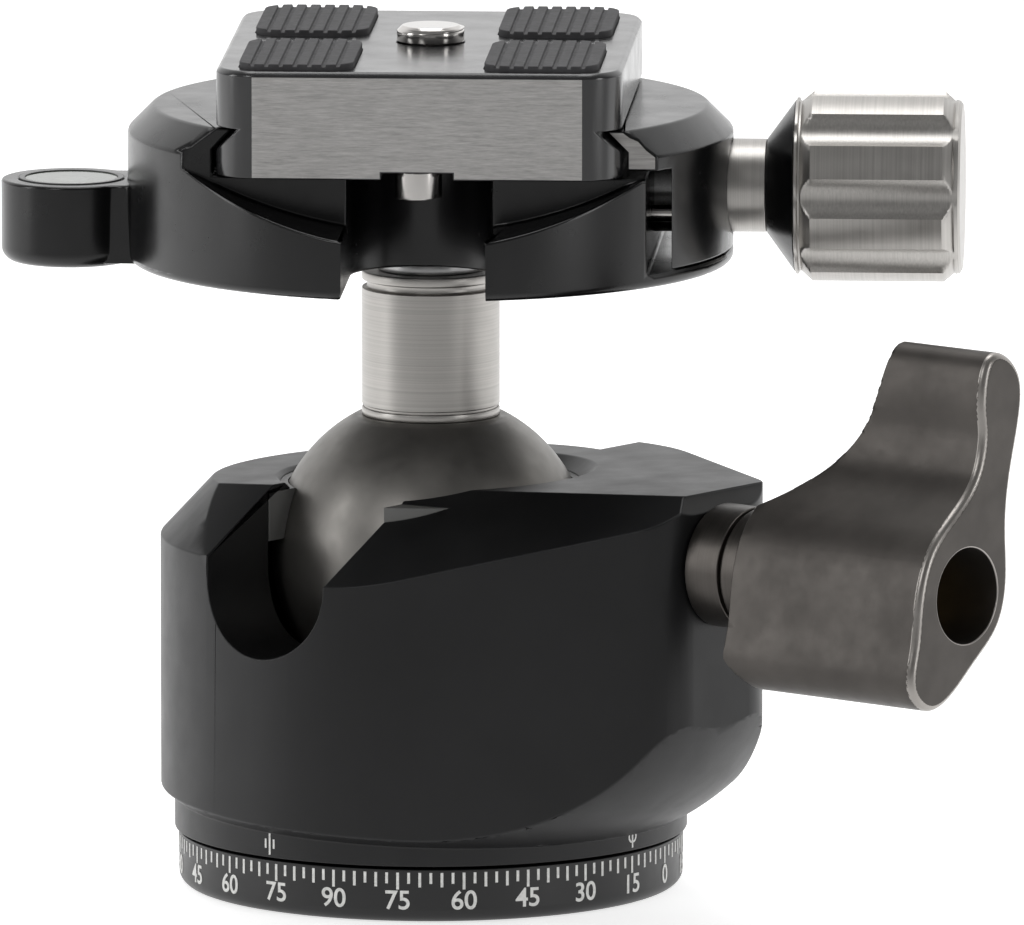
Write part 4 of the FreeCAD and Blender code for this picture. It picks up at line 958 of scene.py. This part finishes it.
class BALLHEAD_OT_ball(bpy.types.Operator):
    """Finishes the ball, the stem, the spacer and the screw that holds the clamp"""

    bl_idname = "ballhead.ball"
    bl_label = "Ball and Stem"

    def execute(self, context):
        settings = context.scene.ball_head
        dress("ball", settings, "ball_gunmetal")
        dress("stem", settings, "stem_silver")
        dress("spacer_washer", settings, "steel")
        dress("fixing_screw", settings, "steel")
        return {"FINISHED"}


class BALLHEAD_OT_lock(bpy.types.Operator):
    """Finishes the main lock: wing knob, collar, spindle, bush, shoe, friction screw and its spring"""

    bl_idname = "ballhead.lock"
    bl_label = "Main Lock"

    def execute(self, context):
        settings = context.scene.ball_head
        face = max(v.co.dot(LOCK_AXIS) for v in frame["nodes"]["lock_knob"].data.vertices)

        def bright_rim(polygon):
            """The rounded rim of the end face is bare and bright."""
            reach = polygon.center.dot(LOCK_AXIS)
            slope = polygon.normal.dot(LOCK_AXIS)
            return 1 if reach > face - BRIGHT_RIM_WIDTH and 0.08 < slope < 0.985 else 0

        dress("lock_knob", settings, "knob_bronze", "knob_edge", choose=bright_rim)
        dress("lock_collar", settings, "collar_bronze")
        dress("lock_spindle", settings, "screw_steel")
        dress("lock_bush", settings, "brass")
        dress("brake_shoe", settings, "white_plastic")
        dress("friction_screw", settings, "brass", edge=0.6)
        add_friction_spring(settings)
        return {"FINISHED"}


def add_friction_spring(settings):
    """The small coil behind the friction screw, laid along the lock's axis."""
    corners = [v.co.dot(LOCK_AXIS) for v in frame["nodes"]["friction_spring"].data.vertices]
    height = max(corners) - min(corners)
    outer = (SPRING_HIGH.z - SPRING_LOW.z) / 2
    wire = COIL_WIRE
    spring = grown("friction_coil", coil_tree(), {
        "Radius": outer - wire, "Wire": wire, "Height": height - 2 * wire, "Turns": 3.0,
        "Material": finish("screw_steel", settings)})
    lift = Vector((0.0, 0.0, 1.0)).rotation_difference(LOCK_AXIS).to_matrix().to_4x4()
    foot = LOCK_AXIS * (min(corners) + wire)
    foot.z = (SPRING_HIGH.z + SPRING_LOW.z) / 2
    spring.data.transform(Matrix.Translation(foot) @ lift)
    for polygon in spring.data.polygons:
        polygon.use_smooth = True
    seat(spring, "friction_spring")


class BALLHEAD_OT_pan_lock(bpy.types.Operator):
    """Finishes the small lock of the panning base"""

    bl_idname = "ballhead.pan_lock"
    bl_label = "Pan Lock"

    def execute(self, context):
        settings = context.scene.ball_head
        dress("pan_knob", settings, "knob_bronze")
        dress("pan_screw", settings, "steel")
        dress("pan_shoe", settings, "white_plastic")
        return {"FINISHED"}


class BALLHEAD_OT_clamp(bpy.types.Operator):
    """Finishes the clamp's base, its moving jaw, guide pins and spring"""

    bl_idname = "ballhead.clamp"
    bl_label = "Clamp"

    def execute(self, context):
        settings = context.scene.ball_head

        def milled_end(polygon):
            """The clamp's small milled ends beside the plate are bare."""
            x, y, z = polygon.center
            beside_plate = abs(x) > MILLED_SIDE and y < MILLED_FRONT and z > MILLED_FOOT
            return 1 if beside_plate and polygon.normal.y < -0.98 else 0

        dress("clamp_base", settings, "clamp_black", "jaw_bare", edge=2.2, choose=milled_end,
              soften=round_lobes)
        dress("moving_jaw", settings, "clamp_black", "jaw_bare", edge=1.6, choose=milled_end)
        dress("guide_pins", settings, "chrome", edge=0.5)
        dress("return_spring", settings, "steel", edge=0.5)
        return {"FINISHED"}


def round_lobes(mesh):
    """Rounds the upright corners where the front notch opens, as far as the edges beside them leave room."""
    corners = []
    for edge in mesh.edges:
        a, b = (vert.co for vert in edge.verts)
        upright = math.hypot(a.x - b.x, a.y - b.y) < LOBE_LEAN and abs(a.z - b.z) > LOBE_HEIGHT
        if upright and a.y < NOTCH_FRONT and abs(a.x) < NOTCH_REACH:
            corners.append(edge)
    if not corners:
        raise RuntimeError("the clamp's notch has no upright corners")
    bmesh.ops.bevel(mesh, geom=corners, offset=LOBE_ROUNDING, segments=6, profile=0.5, affect="EDGES",
                    clamp_overlap=True)


class BALLHEAD_OT_clamp_knob(bpy.types.Operator):
    """Finishes the clamp's screw, its dark cone and the fluted knob"""

    bl_idname = "ballhead.clamp_knob"
    bl_label = "Clamp Knob"

    def execute(self, context):
        settings = context.scene.ball_head
        dress("clamp_screw", settings, "knob_silver")
        dress("knob_cone", settings, "clamp_black")
        add_fluted_knob(settings)
        return {"FINISHED"}


def add_fluted_knob(settings):
    """Turned knob with flutes that run out through the slopes at both ends."""
    low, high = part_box("clamp_knob")
    radius = (high.z - low.z) / 2
    length = high.x - low.x
    centre = radius - FLUTE_DEPTH + FLUTE_RADIUS
    half = math.acos((centre ** 2 + radius ** 2 - FLUTE_RADIUS ** 2) / (2 * centre * radius))
    steps = 7
    rise = radius - KNOB_THROAT
    fall = radius - KNOB_FAR_THROAT
    far = length - KNOB_FAR_SLOPE
    land = length - 2 * KNOB_LAND_START
    profile = [(0.0, 0.0), (0.0, KNOB_THROAT), (0.00012, KNOB_RIM), (0.00034, KNOB_RIM),
               (0.00046, KNOB_THROAT), (KNOB_SLOPE_START, KNOB_THROAT)]
    for i in range(1, steps + 1):
        profile.append((KNOB_SLOPE_START + KNOB_SLOPE_LENGTH * i / steps, KNOB_THROAT + rise * i / steps))
    for i in range(4):
        profile.append((KNOB_LAND_START + land * i / 3, radius))
    for i in range(steps + 1):
        profile.append((far + KNOB_FAR_SLOPE_LENGTH * i / steps, radius - fall * i / steps))
    profile += [(length - 0.00055, 0.0082), (length - 0.0002, KNOB_FAR_THROAT), (length, 0.0078),
                (length, 0.0)]
    pitch = 2 * math.pi / FLUTE_COUNT
    angles = []
    for i in range(FLUTE_COUNT):
        middle = math.pi / 2 + pitch * i
        angles += [middle + half * step / steps for step in range(-steps, steps + 1)]
        angles += [middle + half + (pitch - 2 * half) * step / 6 for step in range(1, 6)]

    def reach(angle, outer):
        """Distance from the axis to the skin: the flute's floor, or the turned outside."""
        off = (angle - math.pi / 2 + pitch / 2) % pitch - pitch / 2
        if abs(off) >= half:
            return outer
        floor = centre * math.cos(off) - math.sqrt(FLUTE_RADIUS ** 2 - (centre * math.sin(off)) ** 2)
        return min(outer, floor)

    mesh = bmesh.new()
    rings = []
    for x, outer in profile:
        if outer == 0.0:
            rings.append([mesh.verts.new((low.x + x, 0.0, CLAMP_AXIS.z))] * len(angles))
            continue
        rings.append([mesh.verts.new((low.x + x, reach(a, outer) * math.cos(a),
                                      CLAMP_AXIS.z + reach(a, outer) * math.sin(a))) for a in angles])
    for a, b in zip(rings, rings[1:]):
        for i in range(len(angles)):
            j = (i + 1) % len(angles)
            corners = [a[i], a[j], b[j], b[i]]
            face = [c for k, c in enumerate(corners) if c not in corners[:k]]
            mesh.faces.new(face)
    bmesh.ops.recalc_face_normals(mesh, faces=mesh.faces[:])
    data = bpy.data.meshes.new("clamp_knob_finished")
    mesh.to_mesh(data)
    mesh.free()
    piece = new_piece("clamp_knob_finished", data, finish("knob_silver", settings))
    for polygon in data.polygons:
        polygon.use_smooth = True
    data.set_sharp_from_angle(angle=math.radians(24))
    seat(piece, "clamp_knob")


class BALLHEAD_OT_level(bpy.types.Operator):
    """Finishes the bubble level's rim, vial and bubble"""

    bl_idname = "ballhead.level"
    bl_label = "Level"

    def execute(self, context):
        settings = context.scene.ball_head
        dress("level_bezel", settings, "level_rim", edge=0.4)
        dress("level_vial", settings, "level_glass", edge=0.4)
        dress("level_bubble", settings, "level_air", edge=0.0)
        return {"FINISHED"}


class BALLHEAD_OT_plate(bpy.types.Operator):
    """Finishes the camera plate, its pads, clip and stop pins, and cuts the camera screw's thread"""

    bl_idname = "ballhead.plate"
    bl_label = "Camera Plate"

    def execute(self, context):
        settings = context.scene.ball_head

        def flat_end(polygon):
            """The plate's two flat ends are bare and brushed."""
            above = polygon.center.z > PLATE_FOOT + PLATE_END_FOOT
            return 1 if abs(polygon.normal.y) > 0.995 and above else 0

        dress("camera_plate", settings, "plate_black", "plate_end", choose=flat_end)
        dress("rubber_pads", settings, "rubber", edge=0.7)
        dress("screw_clip", settings, "steel", edge=0.5)
        dress("stop_pins", settings, "chrome")
        dress("camera_screw", settings, "chrome", edge=0.6)
        add_thread(settings)
        return {"FINISHED"}


def add_thread(settings):
    """One turn of thread round the camera screw's end."""
    thread = grown("camera_screw_thread", thread_tree(), {
        "Radius": THREAD_RADIUS, "Length": THREAD_LENGTH, "Pitch": THREAD_PITCH, "Depth": THREAD_DEPTH,
        "Foot": SCREW_TIP - THREAD_LENGTH - THREAD_END, "Material": finish("chrome", settings)})
    for polygon in thread.data.polygons:
        polygon.use_smooth = abs(polygon.normal.z) < 0.99
    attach(thread, BODY_OF["camera_screw"])


class BALLHEAD_PT_panel(bpy.types.Panel):
    """Buttons for the pieces of the ball head"""

    bl_idname = "BALLHEAD_PT_panel"
    bl_label = "Tripod Ball Head"
    bl_space_type = "VIEW_3D"
    bl_region_type = "UI"
    bl_category = "Ball Head"

    def draw(self, context):
        for operator in OPERATORS:
            self.layout.operator(operator.bl_idname)


SETTINGS = (EdgeSettings, ScaleSettings, MarkSettings, FinishSettings, StudioSettings, BallHeadSettings)
OPERATORS = (BALLHEAD_OT_studio, BALLHEAD_OT_foot, BALLHEAD_OT_scale, BALLHEAD_OT_housing, BALLHEAD_OT_ball,
             BALLHEAD_OT_lock, BALLHEAD_OT_pan_lock, BALLHEAD_OT_clamp, BALLHEAD_OT_clamp_knob,
             BALLHEAD_OT_level, BALLHEAD_OT_plate)


def register():
    for kind in SETTINGS + OPERATORS + (BALLHEAD_PT_panel,):
        bpy.utils.register_class(kind)
    bpy.types.Scene.ball_head = PointerProperty(type=BallHeadSettings)


def unregister():
    del bpy.types.Scene.ball_head
    for kind in reversed(SETTINGS + OPERATORS + (BALLHEAD_PT_panel,)):
        bpy.utils.unregister_class(kind)


def main():
    register()
    for operator in OPERATORS:
        group, name = operator.bl_idname.split(".")
        getattr(getattr(bpy.ops, group), name)()


if __name__ == "__main__":
    main()
